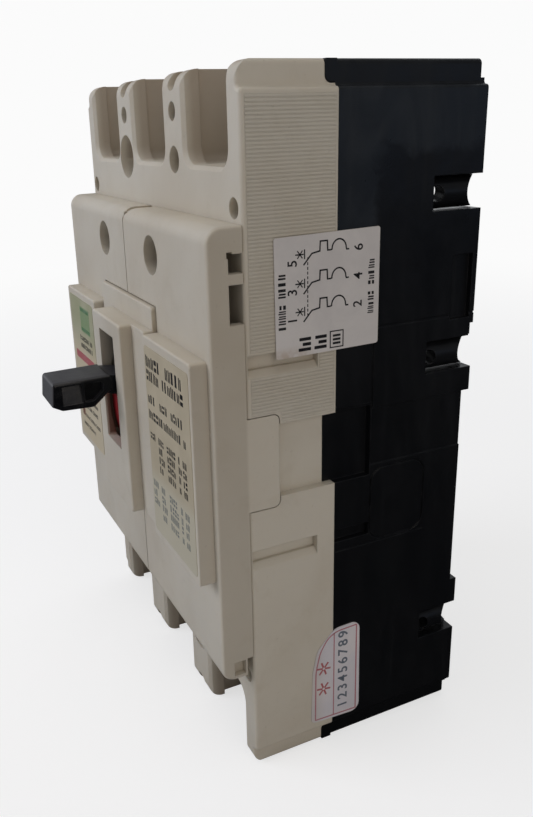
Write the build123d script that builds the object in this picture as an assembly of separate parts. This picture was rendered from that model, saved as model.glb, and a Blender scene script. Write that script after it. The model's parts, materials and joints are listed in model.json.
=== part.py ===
from build123d import *
import math
import os

# Moulded case circuit breaker, three pole, toggle operated, in the tripped state.
# Frame: origin at the centre of the rear mounting plane, +X right seen from the
# front, +Z up (line side up), front towards -Y. Millimetres throughout.
# Depths "d" are measured forward from the mounting plane, so y = -d.
# Side profiles are lists of (d, z) and pivots are (d, z) too.

# ----------------------------------------------------------------------------
# Driving dimensions
# ----------------------------------------------------------------------------
WIDTH = 105.0
HEIGHT = 165.0
HALF_W = WIDTH / 2
HALF_H = HEIGHT / 2
PITCH = 35.0                    # pole pitch
POLES = (-PITCH, 0.0, PITCH)
SIDES = (-1, 1)                 # left, right; also lower, upper
CORNERS = ((-1, -1), (-1, 1), (1, -1), (1, 1))   # (side, end)

# front faces, as depths
D_BASE = 38.0                   # seam between base and cover
D_TERM = 60.0                   # terminal sections
D_AUX = 68.0                    # auxiliary covers
D_PANEL = 69.2                  # central operating panel
D_LEDGE = 71.5                  # ledge between the handle frame and the rating plate
D_PLATE = 72.0                  # raised label panels
D_FRAME = 74.8                  # frame around the handle window
D_HANDLE = 91.8                 # tip of the handle

# mouldings
WALL = 3.0
END_R = 4.0                     # rounding of walls and barriers at their front ends
CHAMBER_X = HALF_W - WALL       # outer wall of the outer pole chambers
CHAMBER_Z = 59.4                # half height of the pole chambers
BARRIER_X = PITCH / 2           # middle of the barriers between the poles
PART_X0 = BARRIER_X - 1.4       # partition between two poles, inner and outer face
PART_X1 = BARRIER_X + 1.4
SHOULDER_Z = 77.3               # beyond this the end flanges are set back
FLANGE_X = HALF_W - 1.5         # half width over the end flanges
SLOT_HALF = 2.25                # half width of the barrier slots

# auxiliary covers
AUX_Z = 52.0                    # upper end
AUX_ZL = 54.0                   # lower end, below the centre
AUX_RIM_R = 3.4                 # rounding of the upper and lower front rims
AUX_SCREW_X = {1: 19.5, -1: 17.5}   # right and left screw, distance from the centre
AUX_SCREW_Z = 42.6
AUX_SEAT = 62.6                 # screw seat depth

# terminals
TERM_HALF = 11.3                # half width of a terminal opening at its front lip
TERM_HALF_IN = 12.8             # half width behind the lip
TERM_Z = 62.6                   # floor of the terminal openings
TERM_D_SEAT = 24.0              # rear face of the terminal plates
TERM_D_FRONT = TERM_D_SEAT + 3.0
TERM_HOLE_Z = 72.0
TERM_HOLE_R = 4.25              # M8 clearance
CONDUCTOR_D = 13.0              # front face of the inner conductor feet
HEATER_D = CONDUCTOR_D + 1.4    # front face of the heater strips

# fixings
MOUNT_Z = 127.0 / 2             # 35 x 127 mounting pattern
MOUNT_R = 2.6                   # M5 clearance
MOUNT_CORNERS = ((-1, 1), (1, -1))    # barriers with a mounting hole
SCREW_CORNERS = ((1, 1), (-1, -1))    # barriers with a cover screw
BARRIER_SEAT = 46.0             # screw seat depth in the barriers
EDGE_X = 48.9                   # screws along the side walls
EDGE_ZU, EDGE_ZL = 54.9, -56.1
EDGE_SEAT = 45.0
COLUMN_R = 3.55                 # screw columns
THREAD_R = 1.75                 # screw holes in the mouldings

# operating panel and handle window
PANEL_X0, PANEL_X1 = -20.0, 20.8
PANEL_Z0, PANEL_Z1 = -26.0, 30.5
PANEL_GAP = 0.25                # gap between panel and auxiliary covers
FRAME_Z1 = 25.0                 # upper end of handle frame and ledge
WIN_X, WIN_Z0, WIN_Z1 = 6.1, -9.8, 20.8
R_SHUTTER = 39.9                # handle's arc shutter, about the handle pivot
SWEEP = 1.6                     # room in front of the shutter
BUTTON_X, BUTTON_Z = -15.2, -18.0
VENTS_X = (-7.5, -2.5, 2.5, 7.5)      # gas vents, from the pole centre
VENT_D = 50.5

# mechanism pivots
HANDLE_PIVOT = (32.0, 0.0)      # handle and yoke
BAR_PIVOT = (16.0, 8.0)         # crossbar
CRADLE_PIVOT = (36.0, 34.0)
LATCH_PIVOT = (36.0, -29.0)
TRIP_PIVOT = (48.0, -41.0)
ARMATURE_PIVOT = (20.0, -40.6)
OPEN_DEG = 28.0                 # contact arms, closed to open
CRADLE_TILT = 12.0              # cradle, latched to released

os.makedirs("parts", exist_ok=True)


# ----------------------------------------------------------------------------
# Helpers. Every one takes depths d = -y, except line_cyl and coil.
# ----------------------------------------------------------------------------
def span(side, a, b, centre=0.0):
    """Limits of a range laid out on one side of a centre, in rising order."""
    return sorted((centre + side * a, centre + side * b))


def block(x0, x1, d0, d1, z0, z1):
    return Pos((x0 + x1) / 2, -(d0 + d1) / 2, (z0 + z1) / 2) * Box(x1 - x0, d1 - d0, z1 - z0)


def block_mid(x, half, d0, d1, z0, z1):
    """Block centred on x."""
    return block(x - half, x + half, d0, d1, z0, z1)


def line_cyl(start, end, radius):
    """Cylinder between two (x, y, z) points."""
    axis = Vector(*end) - Vector(*start)
    return extrude(Plane(origin=start, z_dir=axis) * Circle(radius), axis.length)


def cyl_x(radius, d, z, x0, x1):
    return line_cyl((x0, -d, z), (x1, -d, z), radius)


def cyl_y(radius, x, z, d0, d1):
    return line_cyl((x, -d0, z), (x, -d1, z), radius)


def cyl_z(radius, x, d, z0, z1):
    return line_cyl((x, -d, z0), (x, -d, z1), radius)


def round_face(points, radii):
    """Face within a closed outline of 3-D points, each corner rounded by its radius."""
    count = len(points)
    corners = [Vector(*p) for p in points]
    starts, ends, mids = [], [], []
    for i in range(count):
        before, corner, after = corners[i - 1], corners[i], corners[(i + 1) % count]
        radius = radii[i]
        if radius <= 0:
            starts.append(corner)
            ends.append(corner)
            mids.append(None)
            continue
        back = (before - corner).normalized()
        ahead = (after - corner).normalized()
        half = math.acos(max(-1, min(1, back.dot(ahead)))) / 2
        tangent = radius / math.tan(half)
        bisector = (back + ahead).normalized()
        centre = corner + bisector * (radius / math.sin(half))
        starts.append(corner + back * tangent)
        ends.append(corner + ahead * tangent)
        mids.append(centre - bisector * radius)
    edges = []
    for i in range(count):
        if mids[i] is not None:
            edges.append(ThreePointArc(starts[i], mids[i], ends[i]))
        j = (i + 1) % count
        if (starts[j] - ends[i]).length > 1e-6:
            edges.append(Line(ends[i], starts[j]))
    return make_face(edges)


def prism(points, radii, vec):
    if not isinstance(radii, (list, tuple)):
        radii = [radii] * len(points)
    vec = Vector(*vec)
    return extrude(round_face(points, radii), amount=vec.length, dir=vec.normalized())


def prism_x(points, x0, x1, radii=0):
    """Extrude a (d, z) outline along X."""
    return prism([(x0, -d, z) for d, z in points], radii, (x1 - x0, 0, 0))


def prism_y(points, d0, d1, radii=0):
    """Extrude an (x, z) outline along the depth."""
    return prism([(x, -d0, z) for x, z in points], radii, (0, -(d1 - d0), 0))


def prism_z(points, z0, z1, radii=0):
    """Extrude an (x, d) outline along Z."""
    return prism([(x, -d, z0) for x, d in points], radii, (0, 0, z1 - z0))


def rect(a0, a1, b0, b1):
    return [(a0, b0), (a1, b0), (a1, b1), (a0, b1)]


def swing(shape, pivot, deg):
    """Turn about an X axis at (d, z); positive takes the front towards +Z."""
    return shape.rotate(Axis((0, -pivot[0], pivot[1]), (-1, 0, 0)), deg)


def turn_point(point, pivot, deg):
    """Turn a (d, z) point about a (d, z) pivot, in the same sense as swing."""
    angle = math.radians(deg)
    d, z = point[0] - pivot[0], point[1] - pivot[1]
    return (pivot[0] + d * math.cos(angle) - z * math.sin(angle),
            pivot[1] + d * math.sin(angle) + z * math.cos(angle))


def soft(shape, edges, radius):
    """Round edges; the try guards against radii the kernel refuses, and smaller ones follow."""
    for factor in (1.0, 0.7, 0.4):
        try:
            out = fillet(edges, radius * factor)
            if out.is_valid:
                return out
        except Exception:
            pass
    return shape


def soft_front(shape, radius):
    """Round the outline of the frontmost face."""
    return soft(shape, shape.faces().sort_by(Axis.Y)[0].edges(), radius)


def raised_panel(x0, x1, d0, d1, z0, z1, corner_r, rim_r):
    panel = block(x0, x1, d0, d1, z0, z1)
    panel = soft(panel, panel.edges().filter_by(Axis.Y), corner_r)
    return soft_front(panel, rim_r)


def link(start, end, radius, x0, x1, start_hole, end_hole):
    """A flat link with round ends between two (d, z) points."""
    run, rise = end[0] - start[0], end[1] - start[1]
    length = math.hypot(run, rise)
    off_d, off_z = rise / length * radius, run / length * radius
    body = prism_x([(start[0] - off_d, start[1] + off_z), (start[0] + off_d, start[1] - off_z),
                    (end[0] + off_d, end[1] - off_z), (end[0] - off_d, end[1] + off_z)], x0, x1)
    body = body + cyl_x(radius, *start, x0, x1) + cyl_x(radius, *end, x0, x1)
    body -= cyl_x(start_hole, *start, x0 - 1, x1 + 1)
    return body - cyl_x(end_hole, *end, x0 - 1, x1 + 1)


def coil(start, end, radius, wire_r, turns):
    """A coil spring between two (x, y, z) points, ends left open."""
    axis = Vector(*end) - Vector(*start)
    length = axis.length
    helix = Helix(pitch=length / turns, height=length, radius=radius)
    wire = Plane(origin=helix @ 0, z_dir=helix % 0) * Circle(wire_r)
    spring = sweep(wire, path=helix, is_frenet=True)
    return Plane(origin=start, z_dir=axis) * spring


def sector(r0, r1, deg0, deg1, x0, x1):
    """Arc plate about the handle pivot between two angles from the front."""
    def point(radius, deg):
        angle = math.radians(deg)
        return Vector(x0, -(HANDLE_PIVOT[0] + radius * math.cos(angle)),
                      HANDLE_PIVOT[1] + radius * math.sin(angle))

    mid = (deg0 + deg1) / 2
    edges = [ThreePointArc(point(r1, deg0), point(r1, mid), point(r1, deg1)),
             Line(point(r1, deg1), point(r0, deg1)),
             ThreePointArc(point(r0, deg1), point(r0, mid), point(r0, deg0)),
             Line(point(r0, deg0), point(r1, deg0))]
    return extrude(make_face(edges), amount=x1 - x0, dir=(1, 0, 0))


def save(name, shapes):
    if not isinstance(shapes, (list, tuple)):
        shapes = [shapes]
    solids = []
    for shape in shapes:
        solids += list(shape.solids())
    out = Compound(children=solids) if len(solids) > 1 else solids[0]
    out.label = name
    export_step(out, "parts/%s.step" % name)


# ----------------------------------------------------------------------------
# Shapes shared by base, cover and auxiliary covers
# ----------------------------------------------------------------------------
# case outline, (x, z) and corner radius
CASE_OUTLINE = [
    (-FLANGE_X, -HALF_H, 1.2), (FLANGE_X, -HALF_H, 1.2),
    (FLANGE_X, -SHOULDER_Z, 0.7), (HALF_W, -SHOULDER_Z, 0.8),
    (HALF_W, SHOULDER_Z, 0.8), (FLANGE_X, SHOULDER_Z, 0.7),
    (FLANGE_X, HALF_H, 1.2), (-FLANGE_X, HALF_H, 1.2),
    (-FLANGE_X, SHOULDER_Z, 0.7), (-HALF_W, SHOULDER_Z, 0.8),
    (-HALF_W, -SHOULDER_Z, 0.8), (-FLANGE_X, -SHOULDER_Z, 0.7),
]


def case_body(d0, d1):
    return prism_y([(x, z) for x, z, _ in CASE_OUTLINE], d0, d1, [r for _, _, r in CASE_OUTLINE])


def cut_chambers(body, d0, d1):
    for x0, x1 in ((-CHAMBER_X, -PART_X1), (-PART_X0, PART_X0), (PART_X1, CHAMBER_X)):
        body -= prism_y(rect(x0, x1, -CHAMBER_Z, CHAMBER_Z), d0, d1, 1.0)
    return body


def flange_lip(side, end, x_in, x_out, d0, d1, z_in, z_out, r_in, r_out):
    """Lip on an end flange, its front edges rounded by r_in and r_out."""
    radii = [0, r_in, r_out, 0] if end > 0 else [0, r_out, r_in, 0]
    return prism_x(rect(d0, d1, *span(end, z_in, z_out)), *span(side, x_in, x_out), radii)


def side_cut(side, inset, d0, d1, z0, z1):
    """Block that cuts a side face by the inset."""
    return block(*span(side, HALF_W - inset, HALF_W + 1), d0, d1, z0, z1)


def sweep_room(radius, half_x, d0, d1, half_z):
    """Room for the parts that turn with the handle."""
    return (cyl_x(radius, *HANDLE_PIVOT, -half_x, half_x)
            & block(-20, 20, d0, d1, -half_z, half_z))


SHUTTER_ROOM = (R_SHUTTER + SWEEP, 9.4)    # radius, half width

# ----------------------------------------------------------------------------
# Base
# ----------------------------------------------------------------------------
# rear notches: centre z, height, depth at the side face
NOTCHES = ((EDGE_ZU, 7.6, 13.4), (17.6, 7.75, 13.4), (EDGE_ZL, 8.2, 11.4))
NOTCH_SLOPE = 0.4515            # depth lost per millimetre inwards

# reliefs in each side face: inset, d0, d1, z0, z1
BASE_SIDE_CUTS = (
    (1.9, 28.5, D_BASE + 1, -8.7, 8.7),
    (1.4, 1.3, 7.1, 26, 41),
    (0.35, -1, 28.2, -6.3, 7.8),
    (0.35, 28.2, D_BASE + 1, 8.7, 9.4),
    (0.25, 28.0, 28.45, 7.8, 27.2),
    (0.25, -1, 28.2, 26.8, 27.3),
    (1.0, -1, 1.2, 21.4, 24.5),
    (1.6, 28.4, D_BASE + 1, -24.4, -21.2),
    (0.25, 12.0, D_BASE + 1, -27.1, -26.7),
)


def cut_terminal_bays(body):
    """Terminal compartments, conductor passages and captive nut pockets."""
    front = D_BASE + 2
    for x in POLES:
        for end in SIDES:
            hole_z = end * TERM_HOLE_Z
            body -= block_mid(x, TERM_HALF_IN, TERM_D_SEAT - 0.2, front,
                              *span(end, 63.5, HALF_H + 2))
            body -= block_mid(x, TERM_HALF_IN, 9.6, front, *span(end, CHAMBER_Z - 0.5, 63.6))
            body -= block_mid(x, 6.8, 16.9, TERM_D_SEAT, hole_z - 6.8, hole_z + 6.8)
            body -= cyl_y(4.6, x, hole_z, 7.0, 18.0)
    return body


def form_notches(body):
    """Oblique pockets open on the side and rear faces, each with the foot of a column."""
    clip = block(-HALF_W + 0.4, HALF_W - 0.4, 0.6, 30, -CHAMBER_Z - 3, CHAMBER_Z + 3)
    for z, height, depth in NOTCHES:
        for side in SIDES:
            z0, z1 = z - height / 2, z + height / 2
            run_out = HALF_W - depth / NOTCH_SLOPE    # where the pocket meets the rear face
            roof = prism_z([(side * (HALF_W - 0.4), 0.6), (side * (HALF_W - 0.4), depth + 1.5),
                            (side * (run_out - 3.4), 0.6)], z0 - 1.5, z1 + 1.5)
            body = body + (roof & clip)
            body -= prism_z([(side * (HALF_W + 2), -1), (side * (HALF_W + 2), depth),
                             (side * HALF_W, depth), (side * run_out, 0),
                             (side * run_out, -1)], z0, z1)
            column = cyl_y(COLUMN_R, side * EDGE_X, z, 0.3, depth + 0.3)
            # the foot is waisted by two slanting round passages
            for d, radius in ((-0.2, 3.9), (depth - 0.9, 1.75)):
                column -= line_cyl((side * (HALF_W + 3), -(d + 3 * NOTCH_SLOPE), z),
                                   (side * (HALF_W - 26), -(d - 26 * NOTCH_SLOPE), z), radius)
            body += column
    return body


def make_base():
    base = case_body(0, D_BASE)
    # end flanges carry a lip that laps into the cover
    for side, end in CORNERS:
        base += flange_lip(side, end, 47.9, FLANGE_X, D_BASE - 0.5, D_BASE + 2.3,
                           78.1, HALF_H, 1.5, 0.3)
    # the rear of the end flanges is a little forward of the mounting plane
    for end in SIDES:
        base -= block_mid(0, HALF_W + 1, -1, 1.0, *span(end, 78.6, HALF_H + 1))
    base = cut_chambers(base, 4.0, D_BASE + 2)
    base = cut_terminal_bays(base)
    base = form_notches(base)

    # screw columns inside
    for side in SIDES:
        for z in (EDGE_ZU, EDGE_ZL):
            base += cyl_y(COLUMN_R, side * EDGE_X, z, 15.2, D_BASE)
            base -= cyl_y(THREAD_R, side * EDGE_X, z, 19.0, D_BASE + 1)
    # crossbar bearings in the partitions, open to the front
    bar_d, bar_z = BAR_PIVOT
    for side in SIDES:
        x0, x1 = span(side, PART_X0 - 0.6, PART_X1 + 0.6)
        base -= cyl_x(7.0, *BAR_PIVOT, x0, x1)
        base -= block(x0, x1, bar_d, D_BASE + 1, bar_z - 7.0, bar_z + 7.0)
    # barriers: mounting holes, cover screw holes, slots at the ends
    for side, end in MOUNT_CORNERS:
        base -= cyl_y(MOUNT_R, side * BARRIER_X, end * MOUNT_Z, -1, D_BASE + 1)
    for side, end in SCREW_CORNERS:
        base -= cyl_y(THREAD_R, side * BARRIER_X, end * MOUNT_Z, 16, D_BASE + 1)
    for side, end in CORNERS:
        base -= block_mid(side * BARRIER_X, SLOT_HALF, 20, D_BASE + 1,
                          *span(end, 78.6, HALF_H + 1))

    for side in SIDES:
        for cut in BASE_SIDE_CUTS:
            base -= side_cut(side, *cut)
        # shallow groove outlining a rounded pad
        x0, x1 = span(side, HALF_W - 0.3, HALF_W + 1)
        base -= (prism_x(rect(12.3, 28.3, -26.6, -7.2), x0, x1, 4.0)
                 - prism_x(rect(12.7, 27.9, -26.2, -7.6), x0 - 1, x1 + 1, 3.6))
    # rear relief across the lower middle, leaving a central foot, and two above it
    for side in SIDES:
        base -= block(*span(side, 9, HALF_W + 1), -1, 1.9, -45, 7.8)
    for side in SIDES:
        base -= block(*span(side, 12, 30), -1, 2.4, 26, 45)
    # tongues under the pockets of the cover
    for side in SIDES:
        base += block(*span(side, HALF_W - 4.6, HALF_W - 1.9), D_BASE - 9, D_BASE + 2.2, -8.5, 8.5)
    return base


save("base", make_base())


# ----------------------------------------------------------------------------
# Cover
# ----------------------------------------------------------------------------
def opening(x, end, half, floor, outer):
    """(x, z) outline of a terminal opening, floor corners first."""
    return [(x - half, floor), (x + half, floor), (x + half, outer), (x - half, outer)]


def form_terminal_openings(cover):
    for x in POLES:
        for end in SIDES:
            floor, outer = end * TERM_Z, end * (HALF_H + 3)
            lip = opening(x, end, TERM_HALF, floor, outer)
            cover -= prism_y(lip, D_TERM - 6, D_TERM + 2, [4.0, 4.0, 0, 0])
            mouth = opening(x, end, TERM_HALF + 0.9, floor - end * 0.9, outer)
            rear = round_face([(a, -(D_TERM - 0.9), b) for a, b in lip], [4.0, 4.0, 0, 0])
            front = round_face([(a, -D_TERM - 0.001, b) for a, b in mouth], [4.9, 4.9, 0, 0])
            # guards the bevelled mouth: if its loft fails, the lip stays square
            try:
                cover = cover - loft([rear, front])
            except Exception:
                pass
            cover -= prism_y(opening(x, end, TERM_HALF_IN, floor, outer),
                             D_BASE - 1, D_TERM - 4.4, [2.5, 2.5, 0, 0])
            # wall tongue over the conductor
            cover += block_mid(x, 12.4, TERM_D_FRONT + 0.3, D_BASE + 1, *span(end, 60.4, 62.4))
            # gas vents in the wall above the arc chambers
            if end > 0:
                for vent_x in VENTS_X:
                    cover -= cyl_z(1.3, x + vent_x, VENT_D, 58.5, 63.5)
    return cover


def form_cover_fixings(cover):
    """Barrier slots, mounting holes and screw holes."""
    for side, end in CORNERS:
        x = side * BARRIER_X
        z0, z1 = span(end, 78.4, HALF_H + 4)
        cover -= prism_y(rect(x - SLOT_HALF, x + SLOT_HALF, z0, z1), D_BASE - 1, D_TERM + 1, 1.9)
        if end > 0:
            cover -= cyl_y(2.1, x, 74.0, D_TERM - 7, D_TERM + 1)
    for side, end in MOUNT_CORNERS:
        x, z = side * BARRIER_X, end * MOUNT_Z
        cover -= cyl_y(3.7, x, z, D_BASE - 1, D_TERM)
        cover -= cyl_y(5.45, x, z, D_TERM - 4.4, D_TERM + 1)
    for side, end in SCREW_CORNERS:
        x, z = side * BARRIER_X, end * MOUNT_Z
        cover -= cyl_y(3.0, x, z, BARRIER_SEAT, D_TERM + 1)
        cover -= cyl_y(1.9, x, z, D_BASE - 1, BARRIER_SEAT + 1)
    for side in SIDES:
        for z in (EDGE_ZU, EDGE_ZL):
            x = side * EDGE_X
            cover += cyl_y(COLUMN_R, x, z, D_BASE, D_TERM - WALL)
            cover -= cyl_y(2.15, x, z, EDGE_SEAT, D_TERM + 1)
            cover -= cyl_y(THREAD_R, x, z, D_BASE - 1, EDGE_SEAT + 1)
    return cover


def form_operating_panel(cover):
    """Panel, ledge and handle frame, with the handle window and the button well."""
    panel = raised_panel(PANEL_X0, PANEL_X1, D_TERM - 1, D_PANEL, PANEL_Z0, PANEL_Z1, 0.8, 0.4)
    frame = raised_panel(-11.8, 11.8, D_PANEL - 1, D_FRAME, PANEL_Z0, FRAME_Z1, 0.9, 0.6)
    ledge = block(10.0, PANEL_X1, D_PANEL - 1, D_LEDGE, PANEL_Z0, FRAME_Z1)
    ledge = soft(ledge, [e for e in ledge.edges().filter_by(Axis.Y) if e.center().X > 20], 0.8)
    ledge = soft_front(ledge, 0.3)
    cover = cover + panel + ledge + frame
    cover = cover - sweep_room(*SHUTTER_ROOM, 56, 80, 36)
    cover = cover - sweep_room(33.6, 13.9, 56, 80, 32)
    cover -= prism_y(rect(-WIN_X, WIN_X, WIN_Z0, WIN_Z1), D_PANEL - 2.4, D_FRAME + 1, 0.5)
    cover -= cyl_y(2.6, BUTTON_X, BUTTON_Z, D_PANEL - 5.2, D_PANEL + 1)
    cover -= cyl_y(1.15, BUTTON_X, BUTTON_Z, D_TERM - 6, D_PANEL)
    return cover


def form_cover_sides(cover):
    for side in SIDES:
        for z0, z1 in ((21.5, 25.0), (-24.5, -21.0)):
            cover -= side_cut(side, 2.1, 42.6, 59.5, z0, z1)
            # bevelled lower lip of the slot
            cover -= prism_y([(side * (HALF_W - 1.4), z0 + 0.01),
                              (side * (HALF_W + 0.1), z0 + 0.01),
                              (side * (HALF_W + 0.1), z0 - 1.5)], 59.5, 42.6)
        # pocket, with room for the tongue of the base behind it
        cover -= side_cut(side, 1.9, D_BASE + 2.35, 54.0, -8.7, 8.7)
        cover -= side_cut(side, 4.8, D_BASE - 1, D_BASE + 2.35, -8.7, 8.7)
        # recess for the tab of the auxiliary cover
        cover -= prism_x(rect(52.1, D_TERM + 2, -11.2, 11.2),
                         *span(side, HALF_W - 2.1, HALF_W + 1), [1.7, 0, 0, 1.7])
    return cover


def make_cover():
    cover = case_body(D_BASE, D_TERM)
    side_rims = [e for e in cover.edges() if abs(e.center().Y + D_TERM) < 0.01
                 and abs(e.center().X) > HALF_W - 0.1]
    cover = soft(cover, side_rims, 0.9)
    cover = cut_chambers(cover, D_BASE - 1, D_TERM - WALL)
    cover = form_terminal_openings(cover)
    # laps for the flange lips
    for side, end in CORNERS:
        cover -= flange_lip(side, end, 47.7, HALF_W + 1, D_BASE - 1, D_BASE + 2.4,
                            77.9, HALF_H + 1, 1.45, 0)
    cover = form_cover_fixings(cover)
    # every wall and barrier is rounded off at the front of its end
    for end in SIDES:
        corner = block_mid(0, HALF_W + 1, D_TERM - END_R, D_TERM + 1,
                           *span(end, HALF_H - END_R, HALF_H + 1))
        cover = cover - (corner - cyl_x(END_R, D_TERM - END_R, end * (HALF_H - END_R),
                                        -HALF_W - 2, HALF_W + 2))
    cover = form_operating_panel(cover)
    # auxiliary cover screw bosses, and the slots for the hooks at the lower end
    for side in SIDES:
        x = side * AUX_SCREW_X[side]
        cover += cyl_y(3.4, x, AUX_SCREW_Z, 53.0, D_TERM - 2)
        cover -= cyl_y(THREAD_R, x, AUX_SCREW_Z, 54.0, D_TERM + 1)
        cover -= block(*span(side, 23.2, 29.8), D_TERM - WALL - 0.5, D_TERM + 1, -46.7, -44.7)
    # trip bar slots in the partitions
    trip_d, trip_z = TRIP_PIVOT
    for side in SIDES:
        x0, x1 = span(side, PART_X0 - 0.5, PART_X1 + 0.5)
        cover -= cyl_x(3.35, *TRIP_PIVOT, x0, x1)
        cover -= block(x0, x1, D_BASE - 1, trip_d, trip_z - 3.35, trip_z + 3.35)
    # partition relief beside the yoke pins, the side plates and the trip finger
    cover -= block(-16.6, 16.6, D_BASE - 1, 56, -20, 20)
    return form_cover_sides(cover)


save("cover", make_cover())

# ----------------------------------------------------------------------------
# Auxiliary covers (two halves) with raised label panels
# ----------------------------------------------------------------------------
AUX_X_IN = 0.2                  # inner edge of each half
# by side: label panel x0, x1, z0, z1; inner end of the hollow; panel edge to clear
LABEL_PANEL = {1: (21.1, 50.6, -27.8, 24.7), -1: (20.4, 49.5, -25.0, 25.0)}
HOLLOW_X = {1: 23.2, -1: 22.4}
PANEL_EDGE = {1: PANEL_X1, -1: -PANEL_X0}


def aux_cover(side):
    """Right half (side 1) or left half (-1), modelled on the right and mirrored at the end."""
    body = prism_x(rect(D_TERM + 0.05, D_AUX, -AUX_ZL, AUX_Z), AUX_X_IN, HALF_W,
                   [0, AUX_RIM_R, AUX_RIM_R, 0])
    rim = [e for e in body.edges() if abs(e.center().X - HALF_W) < 0.01
           and e.center().Y < -D_AUX + 2.0]
    body = soft(body, rim, 0.9)
    if side > 0:
        body = body & prism_y(rect(AUX_X_IN, HALF_W + 5, -AUX_ZL, AUX_Z),
                              D_TERM - 1, D_AUX + 1, [3.8, 0, 0, 3.8])
    x0, x1, z0, z1 = LABEL_PANEL[side]
    body += raised_panel(x0, x1, D_AUX - 1, D_PLATE, z0, z1, 0.9, 0.45)
    # tab down the side
    body += prism_x(rect(52.3, D_TERM + 3, -11.0, 11.0), HALF_W - 1.9, HALF_W, [1.5, 0, 0, 1.5])
    # hollow behind, leaving the middle, a boss round the screw and a rib
    screw_x = AUX_SCREW_X[side]
    hollow = block(2.2, 50.4, D_TERM - 1, D_AUX - 2, -AUX_ZL + 2, AUX_Z - 2)
    hollow -= block(0, HOLLOW_X[side], D_TERM - 1, D_AUX, -28.2, 32.8)
    hollow -= cyl_y(6.4, screw_x, AUX_SCREW_Z, D_TERM - 1, D_AUX)
    hollow -= block(30, 31.6, D_TERM - 1, D_AUX, -AUX_ZL, AUX_Z)
    body = body - hollow
    # cut-out for the operating panel
    body -= block(-1, PANEL_EDGE[side] + PANEL_GAP, D_TERM - 1, D_PLATE + 1,
                  PANEL_Z0 - PANEL_GAP, PANEL_Z1 + PANEL_GAP)
    # sweep of the handle's arc shutter and its flag
    body = body - sweep_room(*SHUTTER_ROOM, D_TERM - 2, D_AUX - 2, 40)
    body -= cyl_y(4.6, screw_x, AUX_SCREW_Z, AUX_SEAT, D_AUX + 1)
    body -= cyl_y(1.9, screw_x, AUX_SCREW_Z, D_TERM - 1, 63)
    # hook at the lower end, reaching through the slot of the main cover
    body = (body + block(23.5, 29.5, 55.6, D_AUX - 1.5, -46.4, -45.0)
            + block(23.5, 29.5, 55.6, 56.9, -47.6, -45.2))
    # wire outlets at the side seam
    outlet = (HALF_W - 3, HALF_W + 1)
    body -= prism_y(rect(*outlet, 42.5, 46.5), D_TERM - 1, 63.3)
    body -= prism_y(rect(*outlet, 32.0, 40.3), D_TERM - 1, 63.3)
    # catch recess low on the side
    body -= block(HALF_W - 1.6, HALF_W + 1, 62.1, 65.0, -AUX_ZL + 1.2, -AUX_ZL + 4.9)
    body -= block(*outlet, D_TERM - 1, 61.6, -AUX_ZL - 1, -AUX_ZL + 5.1)
    # fine step at the upper outlet
    body -= prism_y(rect(*outlet, 45.6, 46.9), 62.4, 63.6)
    if side < 0:
        # hollow-cornered piece at the upper inner corner, beside the rounded right half
        fill = block(-3.6, 0.3, D_TERM + 0.05, D_AUX, AUX_Z - 3.9, AUX_Z)
        fill = fill - cyl_y(4.15, -4.0, AUX_Z - 4.0, D_TERM - 1, D_AUX + 1)
        fill = fill & block(-3.4, 0.3, D_TERM, 67.6, AUX_Z - 3.9, AUX_Z - 0.9)
        body = mirror(body + fill, about=Plane.YZ)
    return body


save("aux_cover_right", aux_cover(1))
save("aux_cover_left", aux_cover(-1))

# ----------------------------------------------------------------------------
# Labels: two on the raised panels, two on the right side face
# ----------------------------------------------------------------------------
D_LABEL = D_PLATE + 0.12        # front of the panel labels
WIRING_OUTLINE = [(53.3, 48.8), (53.0, 23.3), (27.4, 23.6), (27.5, 49.3)]    # (d, z)
# (d, z) and corner radius
INSPECTION_OUTLINE = [(44.3, -74.9, 1.4), (30.0, -75.6, 2.4), (30.3, -48.2, 2.4),
                      (37.6, -48.4, 4.0), (42.6, -53.5, 5.0), (43.9, -59.5, 5.0)]

save("rating_label", prism_y(rect(22.4, 49.7, -25.6, 22.5), D_PLATE, D_LABEL, 1.0))
save("info_label", prism_y(rect(-47.6, -22.6, -23.0, 23.0), D_PLATE, D_LABEL, 1.0))
save("wiring_label", prism_x(WIRING_OUTLINE, HALF_W + 0.22, HALF_W + 0.37, 0.6))
save("inspection_label", prism_x([(d, z) for d, z, _ in INSPECTION_OUTLINE],
                                 HALF_W + 0.02, HALF_W + 0.17,
                                 [r for _, _, r in INSPECTION_OUTLINE]))


# ----------------------------------------------------------------------------
# Screws
# ----------------------------------------------------------------------------
def screw(x, z, seat, head_r, head_h, shank_r, tip_d):
    """Cross recessed screw, head in front of its seat depth."""
    front = seat + head_h
    body = cyl_y(head_r, x, z, seat, front)
    body = soft(body, [e for e in body.edges() if abs(e.center().Y + front) < 0.01],
                head_h * 0.35)
    body += cyl_y(shank_r, x, z, tip_d, seat + 0.2)
    arm, half = head_r * 0.62, head_r * 0.17
    floor = seat + head_h * 0.45
    body -= block(x - arm, x + arm, floor, front + 1, z - half, z + half)
    return body - block(x - half, x + half, floor, front + 1, z - arm, z + arm)


save("cover_screws",
     [screw(side * BARRIER_X, end * MOUNT_Z, BARRIER_SEAT, 2.85, 2.4, 1.7, 18.0)
      for side, end in SCREW_CORNERS]
     + [screw(side * EDGE_X, z, EDGE_SEAT, 2.0, 2.2, 1.4, 20.0)
        for side in SIDES for z in (EDGE_ZU, EDGE_ZL)])
save("aux_cover_screws", [screw(side * AUX_SCREW_X[side], AUX_SCREW_Z, AUX_SEAT,
                                3.6, 2.4, 1.65, 54.4) for side in SIDES])

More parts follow.
